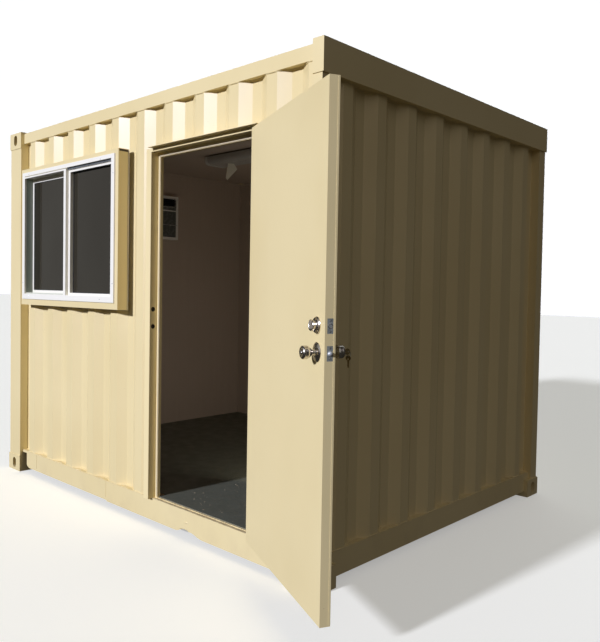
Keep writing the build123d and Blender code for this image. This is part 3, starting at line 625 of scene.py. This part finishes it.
SCREW_IN, SIDE_SCREW_IN, SIDE_SCREW_UP = 0.019, 0.013, 0.12
spots = [
    (x, z) for x in (frame_low.x + 0.10, frame_high.x - 0.16)
    for z in (frame_low.z + SCREW_IN, frame_high.z - SCREW_IN)
] + [
    (x, z) for z in (frame_low.z + SIDE_SCREW_UP, frame_high.z - SIDE_SCREW_UP)
    for x in (frame_low.x + SIDE_SCREW_IN, frame_high.x - SIDE_SCREW_IN)
]
piece("window_screws", joined([
    placed(screw(0.0038), facing((x, frame_low.y, z), (0, -1, 0))) for x, z in spots
]), ZINC, "cabin")

inner_x0, inner_x1 = frame_low.x + SIDE_FACE, frame_high.x - SIDE_FACE
inner_z0, inner_z1 = frame_low.z + SILL_FACE, frame_high.z - HEAD_FACE
mullion_x0 = frame_low.x + MULLION_LEFT
mullion_x1 = mullion_x0 + MULLION_WIDE
front_pane_y = frame_low.y + FRONT_TRACK + FRONT_PANE_BACK
rear_pane_y = frame_low.y + REAR_TRACK + REAR_PANE_BACK
SKIN = 0.0012


def slab(x0, x1, y0, y1, z0, z1, ease=0.0004):
    """Thin plate with eased edges."""
    return rounded_box((x0, y0, z0), (x1, y1, z1), ease, 1)


piece("window_gaskets", joined([
    loop(
        mullion_x1 + FRONT_STILE + 0.001, inner_x1 - FRONT_BEAD - 0.001,
        inner_z0 + FRONT_SILL_BEAD + 0.001, inner_z1 - FRONT_HEAD_BEAD - 0.001,
        front_pane_y - 0.0012, 0.0026, 6, 31,
    ),
    loop(
        inner_x0 + REAR_STILE + 0.001, mullion_x0 - 0.001,
        inner_z0 + REAR_RAIL + 0.001, inner_z1 - REAR_RAIL - 0.001,
        rear_pane_y - 0.0012, 0.0022, 6, 32,
    ),
]), GASKET_AND_HOLE_SHADE, "cabin")

# A thin grey-green sheet on the left bay's jamb inner face: painted shade on the frame's shaded return.
jamb_shade_front, jamb_shade_back = frame_low.y + HEAD_CUT_DEEP, frame_low.y + REAR_TRACK - 0.0006
piece("window_jamb_painted_shade", slab(
    inner_x0 - 0.0002, inner_x0 + SKIN, jamb_shade_front, jamb_shade_back, inner_z0, inner_z1
), JAMB_SHADE_GREY, "cabin")
# Dark slate plates on the right bay's head cut and over its front head bead: painted shade under the frame's head.
piece("window_head_painted_shade", joined([
    slab(
        mullion_x1, inner_x1, frame_low.y + HEAD_CUT_DEEP - SKIN, frame_low.y + HEAD_CUT_DEEP + 0.0002,
        inner_z1 + 0.0005, frame_high.z - SCREEN_GROOVE_DROP,
    ),
    slab(
        mullion_x1 + FRONT_STILE, inner_x1 - FRONT_BEAD,
        frame_low.y + FRONT_TRACK + 0.003, front_pane_y - 0.002,
        inner_z1 - FRONT_HEAD_BEAD - SKIN, inner_z1 - FRONT_HEAD_BEAD + 0.0002,
    ),
]), SLATE_CATCH_AND_SHADE, "cabin")

# Track ribs on the left bay's sill, coloured grey rather than the frame's white: painted shade in the tracks.
rib_parts = []
for y in (frame_low.y + 0.014, frame_low.y + 0.038):
    rib_parts.append(slab(inner_x0, mullion_x0, y, y + 0.0018, inner_z0 - 0.0002, inner_z0 + 0.009, 0.0006))
piece("window_sill_tracks", joined(rib_parts), SILL_TRACK_SHADE, "cabin")

catch_z = (inner_z0 + inner_z1) / 2
catch_y = frame_low.y + REAR_TRACK
piece("window_sash_catch", joined([
    rounded_box(
        (mullion_x0 - 0.016, catch_y - 0.010, catch_z - 0.040),
        (mullion_x0 - 0.004, catch_y, catch_z + 0.040), 0.003, 2,
    ),
    rounded_box(
        (mullion_x0 - 0.024, catch_y - 0.014, catch_z - 0.012),
        (mullion_x0 - 0.010, catch_y - 0.004, catch_z + 0.012), 0.003, 2,
    ),
]), SLATE_CATCH_AND_SHADE, "cabin")

weep_parts = []
for x in (frame_low.x + 0.16, mullion_x0 - 0.10, mullion_x1 + 0.12, frame_high.x - 0.16):
    weep_parts.append(rounded_box(
        (x, frame_low.y - 0.0012, frame_low.z + 0.007),
        (x + 0.026, frame_low.y + 0.0004, frame_low.z + 0.013), 0.0008, 2,
    ))
piece("window_weep_covers", joined(weep_parts), MATERIALS["window_white"], "cabin")

piece("window_box_caulk", loop(
    box_low.x, box_high.x, box_low.z, box_high.z, box_high.y, 0.0045, 8, 33, 0.22
), SEALANT, "cabin")
piece("window_box_folds", joined([
    bead([
        (box_high.x, box_low.y + 0.001, z), (box_high.x, box_high.y - 0.004, z),
    ], 0.02, 0.0016, 1.0, 0.2, 34)
    for z in (box_low.z + 0.0005, box_high.z - 0.0005)
]), WELD, "cabin")
# Dark brown strip along the top of the box's right side, under its top plate.
piece("window_box_dark_strip", slab(
    box_high.x - 0.0003, box_high.x + 0.0009, box_low.y + 0.006, box_high.y - 0.003,
    box_high.z - 0.015, box_high.z - 0.003,
), DARK_BROWN, "cabin")

# ---- door frame
jamb_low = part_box("door_jamb_left")[0]
right_jamb_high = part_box("door_jamb_right")[1]
head_low, head_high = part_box("door_frame_head")
sill_plate_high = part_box("door_threshold")[1]
frame_face_y = jamb_low.y
stop_y = frame_face_y + REBATE_DEEP
rebate_x0, rebate_x1 = jamb_low.x + JAMB_FACE, right_jamb_high.x - JAMB_FACE


def strip(path, width, thick, normal):
    """Flat seal along a path: a half-round section, wide across the path and thin along its normal."""
    return swept(path, width / 2, 8, thick / width * 2, 0.0, 1, up=Vector(normal))


seal_in = STOP_WIDE - 0.006
seal_z = head_low.z + 0.006
seal_y = stop_y - 0.0006
seal_x0, seal_x1, seal_foot = rebate_x0 + seal_in, rebate_x1 - seal_in, sill_plate_high.z + 0.002
piece("door_frame_seal", joined([strip([start, end], 0.009, 0.0036, (0, 1, 0)) for start, end in (
    ((seal_x0, seal_y, seal_foot), (seal_x0, seal_y, seal_z)),
    ((seal_x1, seal_y, seal_foot), (seal_x1, seal_y, seal_z)),
    ((seal_x0, seal_y, seal_z), (seal_x1, seal_y, seal_z)),
)]), PAINTED_SEAL, "cabin")


STRIKE_BACK = 0.024


def strike_cup(z):
    """Shallow dish sunk in a strike hole of the left jamb."""
    dish = turned([
        (0.0, -0.0108), (0.0134, -0.0108), (0.0134, -0.0012), (0.0128, -0.0010), (0.0126, -0.0098),
        (0.0, -0.0098),
    ], 28)
    return placed(dish, facing((rebate_x0, frame_face_y + STRIKE_BACK, z), (1, 0, 0)))


knob_z = JOINTS["inside_knob_turn"]["pos_m"][2]
bolt_z = knob_z + BOLT_ABOVE_KNOB
piece("strike_cups", joined([strike_cup(knob_z), strike_cup(bolt_z)]), DARK_BROWN, "cabin")


def sheet_depth(s):
    """How far in the front sheet lies at s."""
    return wave(0, s, 0)[-1][1]


def caulk_y(depth):
    """Just outside the front sheet where it lies that deep."""
    return on_front(0, depth - 0.002, 0).y


left_caulk_y, right_caulk_y = caulk_y(sheet_depth(door_left_s)), caulk_y(sheet_depth(door_right_s))
caulk_z = head_high.z + 0.002
piece("door_frame_caulk", joined([
    upright(jamb_low.x - 0.001, left_caulk_y, rail_high.z, head_high.z, 0.0040, 41),
    upright(right_jamb_high.x + 0.001, right_caulk_y, rail_high.z, head_high.z, 0.0040, 42),
    bead([
        (jamb_low.x, caulk_y(0), caulk_z), (right_jamb_high.x, caulk_y(0), caulk_z),
    ], 0.05, 0.0036, 1.0, 0.2, 43),
]), SEALANT, "cabin")

# ---- beads where posts, castings and rails meet
post_x0, post_y0 = X_LEFT + POST_END_RECESS, -WIDTH / 2 + POST_SIDE_RECESS
post_low, post_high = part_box("posts_right_end")


def bent_bead(path, seed):
    """Weld along a path whose corners are rounded off."""
    return bead(smooth_path(path, 0.004), 0.03, WELD_RADIUS, 0.9, 0.25, seed)


corner_beads = []
for side, seed in ((-1, 50), (1, 60)):
    y_out, y_in = side * -post_y0 + side * 0.001, side * (WIDTH / 2 - CASTING_Y)
    for number, z in enumerate((CASTING_Z + LIFT, HEIGHT - CASTING_Z - LIFT)):
        corner_beads.append(bent_bead([
            (post_x0 - 0.001, y_in, z), (post_x0 - 0.001, y_out, z), (X_LEFT + CASTING_X, y_out, z),
        ], seed + number))
    y_post, z = side * (WIDTH / 2 - 0.005), CASTING_Z + LIFT
    corner_beads.append(bent_bead([
        (post_low.x, y_post + side * 0.001, z), (post_high.x + 0.001, y_post + side * 0.001, z),
        (post_high.x + 0.001, y_post - side * 0.090, z),
    ], seed + 3))
piece("corner_beads", joined(corner_beads), WELD, "cabin")

sheet_beads = []
for spot, seed in ((on_front, 70), (on_rear, 75)):
    for number, s in enumerate((side_start_s, side_stop_s)):
        foot = spot(s, sheet_depth(s) - 0.002, 0)
        sheet_beads.append(upright(foot.x, foot.y, rail_high.z, top_low.z, WELD_RADIUS, seed + number))
piece("sheet_edge_beads", joined(sheet_beads), WELD, "cabin")

RAIL_JOINTS, DENT_FROM_LEFT, DENT_UP = (0.400, 1.350), 2.187, 0.100
rail_face_y = rail_low.y
rail_beads = []
for from_left in RAIL_JOINTS:
    x, y = X_LEFT + from_left, rail_face_y - 0.0002
    rail_beads.append(bead(
        [(x, y, 0.060), (x, y, rail_high.z - 0.002)],
        0.012, 0.0022, 1.0, 0.35, int(from_left * 100), up=Vector((0, 1, 0)),
    ))
piece("rail_joint_beads", joined(rail_beads), WELD, "cabin")

lump = turned([(0, 0.0046), (0.0045, 0.0042), (0.0085, 0.0030), (0.0115, 0.0012), (0.0125, 0.0), (0, 0)], 18)
stretch = Matrix.Diagonal((1.3, 0.55, 1.0, 1.0))
piece("rail_dent_lump", placed(
    lump, facing((X_LEFT + DENT_FROM_LEFT, rail_face_y + 0.0002, DENT_UP), (0, -1, 0)) @ stretch
), WELD, "cabin")

roof_low, roof_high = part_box("roof_sheet")
roof_beads = []
for y, seed in ((roof_low.y, 81), (roof_high.y, 82)):
    roof_beads.append(bead([
        (roof_low.x + 0.010, y, roof_low.z + 0.006), (roof_high.x - 0.010, y, roof_low.z + 0.006),
    ], 0.05, 0.0036, 0.8, 0.25, seed))
piece("roof_edge_beads", joined(roof_beads), WELD, "cabin")

# ---- door hardware, placed on the closed leaf and swung with it
pivot = Vector(JOINTS["door_swing"]["pos_m"])
swing = Matrix.Translation(pivot) @ Matrix.Rotation(OPEN_ANGLE, 4, "Z") @ Matrix.Translation(-pivot)
leaf_x1 = pivot.x - HALF_HINGE_GAP
leaf_x0 = leaf_x1 - LEAF_WIDE
leaf_out_y = pivot.y + PIVOT_OUT
leaf_in_y = leaf_out_y + LEAF_THICK
lock_x = leaf_x0 + BACKSET
skin_low, skin_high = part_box("door_skin")
INSIDE, OUTSIDE, LATCH_EDGE = (0, 1, 0), (0, -1, 0), (-1, 0, 0)


def on_leaf(mesh_data):
    """Piece made on the closed leaf, swung open with it."""
    return placed(mesh_data, swing)


def lock_piece(name, mesh_data, body="door", material=MATERIALS["lock_chrome"]):
    """Piece of the lock, made on the closed leaf."""
    piece(name, on_leaf(mesh_data), material, body)


boss = turned([
    (0.0, 0.0), (0.0165, 0.0), (0.0165, 0.004), (0.0145, 0.0075), (0.0110, 0.0090), (0.0, 0.0090),
], 32)
paddle_half = [
    (0.0, -0.023), (0.0050, -0.0222), (0.0095, -0.0192), (0.0122, -0.0140), (0.0132, -0.0060),
    (0.0126, 0.0020), (0.0106, 0.0100), (0.0080, 0.0165), (0.0046, 0.0212), (0.0, 0.023),
]
paddle = turned(paddle_half, 28)
turn_front = leaf_in_y + BOLT_ROSE_THICK
paddle_at = Matrix.Translation((lock_x, turn_front + 0.0165, bolt_z))
paddle_turn = Matrix.Rotation(math.radians(14), 4, "Y")
lock_piece("thumb_turn", joined([
    placed(boss, facing((lock_x, turn_front, bolt_z), INSIDE)),
    placed(paddle, paddle_at @ paddle_turn @ Matrix.Diagonal((0.36, 1.05, 1.0, 1.0))),
]))

rose_ring = turned([
    (0.0, 0.0), (0.0300, 0.0), (0.0300, 0.0010), (0.0285, 0.0022), (0.0262, 0.0014), (0.0245, 0.0006),
    (0.0, 0.0006),
], 48)
lock_piece("thumb_turn_rose_ring", placed(rose_ring, facing((lock_x, turn_front - 0.0002, bolt_z), INSIDE)))

tongue = turned([
    (0.0, 0.0100), (0.0036, 0.0098), (0.0066, 0.0088), (0.0086, 0.0066), (0.0096, 0.0030), (0.0096, -0.0005),
    (0.0, -0.0005),
], 28)
latch_spot = facing((leaf_x0, (leaf_out_y + leaf_in_y) / 2, knob_z), LATCH_EDGE)
bolt_spot = facing((leaf_x0, (leaf_out_y + leaf_in_y) / 2, bolt_z), LATCH_EDGE)
lock_piece("latch_tongue", placed(
    tongue, latch_spot @ Matrix.Diagonal((1.0, 0.86, 1.0, 1.0))
), material=BOLT_STEEL)

collar = turned([
    (0.0070, 0.0), (0.0098, 0.0), (0.0098, 0.0006), (0.0084, 0.0012), (0.0070, 0.0007), (0.0070, 0.0),
], 28)
# The socket is a flat near-black disc inside the bolt collar: painted shade for the bolt hole.
socket = turned([(0.0, 0.0004), (0.0068, 0.0004), (0.0072, 0.0), (0.0, 0.0)], 24)
edge_screws = []
for spot in (latch_spot, bolt_spot):
    for up in (-1, 1):
        centre = spot @ Vector((0, 0, 0))
        edge_screws.append(placed(screw(0.0036, 0.0009), facing(
            (leaf_x0, centre.y, centre.z + up * (EDGE_PLATE_TALL / 2 - 0.0085)), LATCH_EDGE
        )))
lock_piece("edge_plate_screws", joined(edge_screws), material=ZINC)
lock_piece("bolt_collar", placed(collar, bolt_spot))
lock_piece("bolt_hole_painted_shade", placed(socket, bolt_spot), material=GASKET_AND_HOLE_SHADE)

piece("leaf_edge_laps", on_leaf(joined([slab(
    x0, x1, leaf_out_y + 0.0004, leaf_out_y + 0.0085, skin_low.z + 0.004, skin_high.z - 0.004, 0.0002,
) for x0, x1 in (
    (leaf_x0 - 0.0007, leaf_x0 + 0.0002), (leaf_x1 - 0.0002, leaf_x1 + 0.0006),
)])), MATERIALS["door_paint"], "door")

hinge_low, hinge_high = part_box("hinges_frame_side")
HINGE_TALL, HINGE_BOX_MARGIN, HINGE_PLATE = 0.114, 0.003, 0.0025
hinge_mids = [
    hinge_low.z + HINGE_TALL / 2 + HINGE_BOX_MARGIN,
    (hinge_low.z + hinge_high.z) / 2,
    hinge_high.z - HINGE_TALL / 2 - HINGE_BOX_MARGIN,
]
head = turned([(0, 0.0002), (0.0012, 0.0001), (0.0034, 0.0003), (0.0040, 0.0), (0, 0)], 14)
frame_screws, leaf_screws = [], []
for z in hinge_mids:
    for up, back in ((-0.036, 0.030), (0.0, 0.020), (0.036, 0.030)):
        y = leaf_out_y + back
        frame_screws.append(placed(head, facing((rebate_x1 - HINGE_PLATE, y, z + up), (-1, 0, 0))))
        leaf_screws.append(placed(head, facing((leaf_x1 + HINGE_PLATE, y, z + up), (1, 0, 0))))
piece("hinge_screws_frame", joined(frame_screws), ZINC, "cabin")
piece("hinge_screws_leaf", on_leaf(joined(leaf_screws)), ZINC, "door")

# ---- knob faces, key in the outside knob and its spare on a ring
inside_face_y, outside_face_y = leaf_in_y + KNOB_REACH, leaf_out_y - KNOB_REACH
button = turned([
    (0.0, 0.0032), (0.0042, 0.0030), (0.0056, 0.0020), (0.0062, 0.0004), (0.0090, 0.0006), (0.0104, 0.0),
    (0.0, -0.0002),
], 28)
lock_piece("inside_knob_button", placed(
    button, facing((lock_x, inside_face_y, knob_z), INSIDE)
), "inside_knob")
cylinder_face = turned([
    (0.0, 0.0012), (0.0066, 0.0012), (0.0074, 0.0006), (0.0100, 0.0008), (0.0112, 0.0), (0.0, 0.0),
], 28)
lock_piece("outside_knob_cylinder", placed(
    cylinder_face, facing((lock_x, outside_face_y, knob_z), OUTSIDE)
), "outside_knob")


BOW_SIDES, BOW_HALF_THICK, BOW_LIFT, EYE_OFF = 28, 0.0011, 0.0105, 0.0042
BLADE_HALF_WIDE, BLADE_THICK = 0.0042, 0.0018
CUT_DEPTHS, CUT_STEP = (0.0006, 0.0014, 0.0021), 0.0032


def oval(half_wide, half_tall, lift):
    """Points (x, z) round an oval whose middle is lifted off the origin."""
    turns = [2 * math.pi * k / BOW_SIDES for k in range(BOW_SIDES)]
    return [(half_wide * math.cos(turn), lift + half_tall * math.sin(turn)) for turn in turns]


def blade(outline):
    """Flat blade from its (x, z) outline."""
    return extruded([(x, -BLADE_THICK / 2, z) for x, z in outline], (0, BLADE_THICK, 0))


def key(reach):
    """Flat key along +Z: the root of its blade from 0 to reach, then a round bow with an eye."""
    outlines = oval(0.0125, 0.0105, 0.0) + oval(0.0034, 0.0034, EYE_OFF)
    vertices, faces = [], []
    for y in (-BOW_HALF_THICK, BOW_HALF_THICK):
        vertices += [Vector((x, y, z + reach + BOW_LIFT)) for x, z in outlines]
    eye, back, back_eye = BOW_SIDES, 2 * BOW_SIDES, 3 * BOW_SIDES
    for k in range(BOW_SIDES):
        n = (k + 1) % BOW_SIDES
        faces.append((k, n, eye + n, eye + k))
        faces.append((back + n, back + k, back_eye + k, back_eye + n))
        faces.append((n, k, back + k, back + n))
        faces.append((eye + k, eye + n, back_eye + n, back_eye + k))
    wide, root = BLADE_HALF_WIDE, reach + 0.002
    return joined([(vertices, faces), blade([(wide, root), (wide, 0.0), (-wide, 0.0), (-wide, root)])])


def key_ring(centre, radius, wire, tilt):
    """Split ring of two turns of wire."""
    path, sides = [], 22
    for k in range(2 * sides):
        turn = 2 * math.pi * k / sides
        path.append(centre + Matrix.Rotation(tilt, 3, "Z") @ Vector(
            (radius * math.sin(turn), (k / (2 * sides) - 0.5) * wire * 2.2, radius * math.cos(turn))
        ))
    return swept(path, wire, 6, 1.0, 0.0, 1, up=Vector((0, 1, 0)))


key_out = facing((lock_x, outside_face_y, knob_z), OUTSIDE) @ Matrix.Rotation(math.radians(90), 4, "Z")
KEY_REACH, RING_DROP, SPARE_DROP = 0.008, 0.0100, 0.0044
RING_RADIUS, RING_WIRE = 0.0108, 0.0007
lock_piece("key_in_knob", placed(key(KEY_REACH), key_out), "outside_knob", BRASS)
ring_at = key_out @ Vector((0, 0, KEY_REACH + BOW_LIFT + EYE_OFF)) - Vector((0, 0, RING_DROP))
lock_piece("key_ring", key_ring(ring_at, RING_RADIUS, RING_WIRE, math.radians(90)), "outside_knob", ZINC)


def spare_key():
    """Second key hanging by its eye, blade down, with its cuts along one edge."""
    bow = placed(key(0.0), Matrix.Rotation(math.radians(180), 4, "X"))
    rng = random.Random(7)
    edge = [(0.0040, -0.021), (0.0040, -0.024)]
    z = -0.025
    while z > -0.046:
        edge.append((0.0040 - rng.choice(CUT_DEPTHS), z))
        z -= CUT_STEP
    edge += [(0.0006, -0.0490), (-0.0034, -0.0470), (-0.0040, -0.021)]
    return joined([bow, blade(edge)])


hang = Matrix.Translation(ring_at - Vector((0, 0, SPARE_DROP))) @ Matrix.Rotation(math.radians(24), 4, "Z")
lock_piece("spare_key", placed(spare_key(), hang), "outside_knob", BRASS)

# ---- interior fittings
unit_low, unit_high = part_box("wall_unit")
panel_top = unit_high.z - UNIT_FRAME - UNIT_SLOT_TALL - UNIT_DIVIDER - UNIT_OUTLET - UNIT_DIVIDER
panel_low = unit_low.z + UNIT_FRAME
panel_x = unit_high.x - UNIT_PANEL_DEEP
BAR_PITCH, BAR_RADIUS, TIE_PITCH, TIE_RADIUS = 0.0093, 0.0019, 0.045, 0.0017
bars = []
x, y = panel_x + 0.0016, unit_low.y + UNIT_FRAME + 0.006
while y < unit_high.y - UNIT_FRAME - 0.004:
    bar = [(x, y, panel_low + 0.002), (x, y, panel_top - 0.002)]
    bars.append(swept(bar, BAR_RADIUS, up=Vector((0, 1, 0))))
    y += BAR_PITCH
x, z = panel_x + 0.0012, panel_low + 0.040
while z < panel_top - 0.02:
    bars.append(swept([(x, unit_low.y + UNIT_FRAME, z), (x, unit_high.y - UNIT_FRAME, z)], TIE_RADIUS))
    z += TIE_PITCH
piece("wall_unit_grille", joined(bars), UNIT_SHADE, "cabin")


def unit_card(x, high, low, proud):
    """Thin dark facing between the sides of the unit's frame, standing proud of a surface at x."""
    return rounded_box(
        (x - 0.0006, unit_low.y + UNIT_FRAME + 0.0004, low + 0.0004),
        (x + proud, unit_high.y - UNIT_FRAME - 0.0004, high - 0.0004), 0.0003, 1)


slot_top = unit_high.z - UNIT_FRAME
slot_low = slot_top - UNIT_SLOT_TALL
outlet_top = slot_low - UNIT_DIVIDER
outlet_low = outlet_top - UNIT_OUTLET
vanes = [unit_card(unit_high.x - UNIT_SLOT_DEEP, slot_top, slot_low, 0.0012)]
for n in range(1, UNIT_VANES):
    z = slot_low + n * UNIT_SLOT_TALL / UNIT_VANES
    vanes.append(rounded_box(
        (unit_high.x - UNIT_SLOT_DEEP, unit_low.y + UNIT_FRAME + 0.0006, z - 0.0008),
        (
            unit_high.x - UNIT_VANE_BACK + 0.0008, unit_high.y - UNIT_FRAME - 0.0006,
            z + UNIT_VANE_THICK + 0.0008,
        ), 0.0005, 1))
piece("wall_unit_vanes", joined(vanes), UNIT_BLACK, "cabin")
piece("wall_unit_cards", joined([
    unit_card(unit_high.x, outlet_top + UNIT_DIVIDER, outlet_top, 0.0006),
    unit_card(panel_x, outlet_top, outlet_low, 0.0010),
    unit_card(panel_x, panel_top, panel_low, 0.0010),
]), UNIT_SHADE, "cabin")
TRIM_FOOT, TRIM_HEAD = 1.9945, 1.9990
piece("wall_unit_trim", joined([
    rounded_box(
        (unit_high.x - 0.002, unit_low.y + 0.010, TRIM_FOOT),
        (unit_high.x + 0.0022, unit_high.y - 0.010, TRIM_HEAD), 0.001, 2,
    ),
    rounded_box(
        (unit_high.x - 0.002, unit_low.y + 0.030, panel_top + 0.0120),
        (unit_high.x + 0.0016, unit_low.y + 0.052, panel_top + 0.0220), 0.001, 2,
    ),
]), PALE_SEAL, "cabin")

DOORWAY_TURN = math.radians(44.3)
CARD_THICK = 0.0012
LENS_ROUND, CAP_OUT, CAP_LONG, CAP_OVER = 0.040, 0.0025, 0.026, 0.003
lens_low, lens_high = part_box("ceiling_light_diffuser")


def cap_section(x):
    """Outline of the lens across its length, grown by CAP_OUT, with the same round lower corners."""
    y0, y1 = lens_low.y - CAP_OUT, lens_high.y + CAP_OUT
    points = [(x, y0, lens_high.z), (x, y1, lens_high.z)]
    z = lens_low.z - CAP_OUT + LENS_ROUND
    for y, start in ((y1 - LENS_ROUND, 0), (y0 + LENS_ROUND, -90)):
        for k in range(7):
            turn = math.radians(start - 90 * k / 6)
            points.append((x, y + LENS_ROUND * math.cos(turn), z + LENS_ROUND * math.sin(turn)))
    return points


piece("ceiling_light_caps", joined([
    extruded(cap_section(lens_low.x - CAP_OVER), (CAP_LONG, 0, 0)),
    extruded(cap_section(lens_high.x + CAP_OVER - CAP_LONG), (CAP_LONG, 0, 0)),
]), MATERIALS["light_body"], "cabin")

# A thin card hangs from the underside of the lens, turned towards the doorway.
card_corner = Vector((lens_low.x + 0.178, (lens_low.y + lens_high.y) / 2 - 0.027, lens_low.z + 0.0015))
card_along = Vector((math.cos(DOORWAY_TURN), math.sin(DOORWAY_TURN), 0))
card_outline = [(0.0, 0.0), (0.047, -0.001), (0.072, -0.045), (-0.003, -0.128), (-0.016, -0.113)]
piece("ceiling_light_card", extruded(
    [card_corner + card_along * side + Vector((0, 0, up)) for side, up in card_outline],
    (card_along.y * CARD_THICK, -card_along.x * CARD_THICK, 0)
), MATERIALS["window_white"], "cabin", smooth=False)

COVE_RADIUS, COVE_IN = 0.011, 0.004
cove_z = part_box("ceiling_panel")[0].z - COVE_IN
left_room_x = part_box("lining_left_end")[1].x
right_room_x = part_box("lining_right_end")[0].x
rear_room_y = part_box("lining_rear")[0].y
front_room_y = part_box("lining_front_left")[1].y
coves = []
for y in (rear_room_y - COVE_IN, front_room_y + COVE_IN):
    coves.append(swept([(left_room_x, y, cove_z), (right_room_x, y, cove_z)], COVE_RADIUS, 8))
for x in (left_room_x + COVE_IN, right_room_x - COVE_IN):
    coves.append(swept([(x, front_room_y, cove_z), (x, rear_room_y, cove_z)], COVE_RADIUS, 8))
piece("ceiling_coves", joined(coves), MATERIALS["lining"], "cabin")

FLAKES = 34
floor_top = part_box("floor_covering")[1].z
rng = random.Random(19)
flakes = []
for n in range(FLAKES):
    x = rebate_x0 + 0.10 + rng.random() * 0.70
    y = stop_y + 0.03 + rng.random() ** 2 * 0.50
    size = 0.0016 + rng.random() ** 3 * 0.0050
    corners, sides = [], 5 + n % 3
    for k in range(sides):
        turn = 2 * math.pi * (k + rng.random() * 0.5) / sides
        corners.append((x + size * math.cos(turn), y + 0.7 * size * math.sin(turn), floor_top - 0.0001))
    flakes.append(extruded(corners, (0, 0, 0.0007 + rng.random() * 0.0008)))
piece("floor_flakes", joined(flakes), FLAKE, "cabin", smooth=False)

# ---- stage, light and camera
FLOOR_REACH, BACKDROP_AWAY, BACKDROP_TALL, CARD_TALL = 130, 40, 90, 60


SHEET_TONES = ((0.86, 0.84, 0.70), (0.85, 0.83, 0.69), (0.87, 0.85, 0.71))
CARD_TONES = ((0.50, 0.50, 0.50), (0.48, 0.47, 0.40), (0.50, 0.49, 0.42))
SHEET_LIGHT, CARD_LIGHT = (1.0, 1.0, 0.99, 1.0), (1.0, 0.98, 0.94, 1.0)


def stage_sheet(name, corners, tones, light, glow, in_gloss=False):
    """Sheet that casts no shadow and bounces no light onto the cabin; glossy parts mirror it if in_gloss."""
    mesh = bpy.data.meshes.new(name)
    mesh.from_pydata(corners, [], [(0, 1, 2, 3)])
    sheet_object = bpy.data.objects.new(name, mesh)
    bpy.context.scene.collection.objects.link(sheet_object)
    s = Shade(name, tones[0], 0.9)
    s.colour(s.mix(s.noise(0.6, 2), tones[1], tones[2]))
    s.set("Emission Color", light)
    s.set("Emission Strength", glow)
    mesh.materials.append(s.material)
    sheet_object.visible_diffuse = False
    sheet_object.visible_glossy = in_gloss
    sheet_object.visible_shadow = False


def across(y, low, tall):
    """Corners of an upright sheet across the stage."""
    return [(-FLOOR_REACH, y, low), (FLOOR_REACH, y, low), (FLOOR_REACH, y, tall), (-FLOOR_REACH, y, tall)]


stage_sheet("studio_floor", [
    (-FLOOR_REACH, -FLOOR_REACH, -0.0005), (FLOOR_REACH, -FLOOR_REACH, -0.0005),
    (FLOOR_REACH, FLOOR_REACH, -0.0005), (-FLOOR_REACH, FLOOR_REACH, -0.0005),
], SHEET_TONES, SHEET_LIGHT, 0.36)
stage_sheet("studio_backdrop", across(BACKDROP_AWAY, -1, BACKDROP_TALL), SHEET_TONES, SHEET_LIGHT, 0.10)
stage_sheet("studio_front_card", across(-BACKDROP_AWAY, -1, CARD_TALL), CARD_TONES, CARD_LIGHT, 0.25, True)

world = bpy.data.worlds.new("studio")
bpy.context.scene.world = world
world.use_nodes = True
background = world.node_tree.nodes["Background"].inputs
background["Color"].default_value = (1.0, 0.93, 0.82, 1.0)
background["Strength"].default_value = 0.036


def lamp(name, kind, energy, colour, toward, away):
    """Light at a distance along a direction, shining back along it."""
    data = bpy.data.lights.new(name, kind)
    data.energy = energy
    data.color = colour
    made = bpy.data.objects.new(name, data)
    bpy.context.scene.collection.objects.link(made)
    made.location = away
    made.rotation_mode = "QUATERNION"
    made.rotation_quaternion = Vector(toward).to_track_quat("Z", "Y")
    return data


def from_the_front(turn, rise):
    """Direction of a light seen from the cabin: turn is to the right of the door side's normal."""
    turn, rise = math.radians(turn), math.radians(rise)
    return Vector((math.sin(turn) * math.cos(rise), -math.cos(turn) * math.cos(rise), math.sin(rise)))


for name, energy, colour, turn, rise, spread in (
    ("key", 3.42, (0.975, 1.02, 1.28), -4.5, 20.5, 4),
    ("fill", 0.29, (0.98, 0.93, 1.02), 58, 34, 60),
    ("back_fill", 0.60, (0.90, 0.96, 1.0), -150, 38, 70),
):
    way = from_the_front(turn, rise)
    lamp(name, "SUN", energy, colour, way, way * 10).angle = math.radians(spread)
doorway_fill = lamp("doorway_fill", "AREA", 3.8, (1.0, 0.96, 0.86), (0.55, -1, -0.30), (0.70, -0.62, 0.80))
doorway_fill.shape = "RECTANGLE"
doorway_fill.size, doorway_fill.size_y = 0.60, 1.1

CAMERA_AT = (3.6490, -3.6260, 1.4394)
YAW, PITCH, ROLL = math.radians(44.295), math.radians(1.888), math.radians(0.924)
ahead = Vector((-math.sin(YAW) * math.cos(PITCH), math.cos(YAW) * math.cos(PITCH), -math.sin(PITCH)))
level = Vector((math.cos(YAW), math.sin(YAW), 0))
over = level.cross(ahead)
right = math.cos(ROLL) * level + math.sin(ROLL) * over
top = -math.sin(ROLL) * level + math.cos(ROLL) * over
camera_data = bpy.data.cameras.new("camera")
camera_data.lens = 38.641
camera_data.sensor_width = 36.0
camera_data.shift_x = 0.03984
camera_data.shift_y = -0.01565
camera_data.clip_end = 200.0
camera = bpy.data.objects.new("camera", camera_data)
bpy.context.scene.collection.objects.link(camera)
turn = Matrix((right, top, -ahead)).transposed().to_4x4()
camera.matrix_world = Matrix.Translation(CAMERA_AT) @ turn
bpy.context.scene.camera = camera
bpy.context.scene.view_settings.view_transform = "Standard"
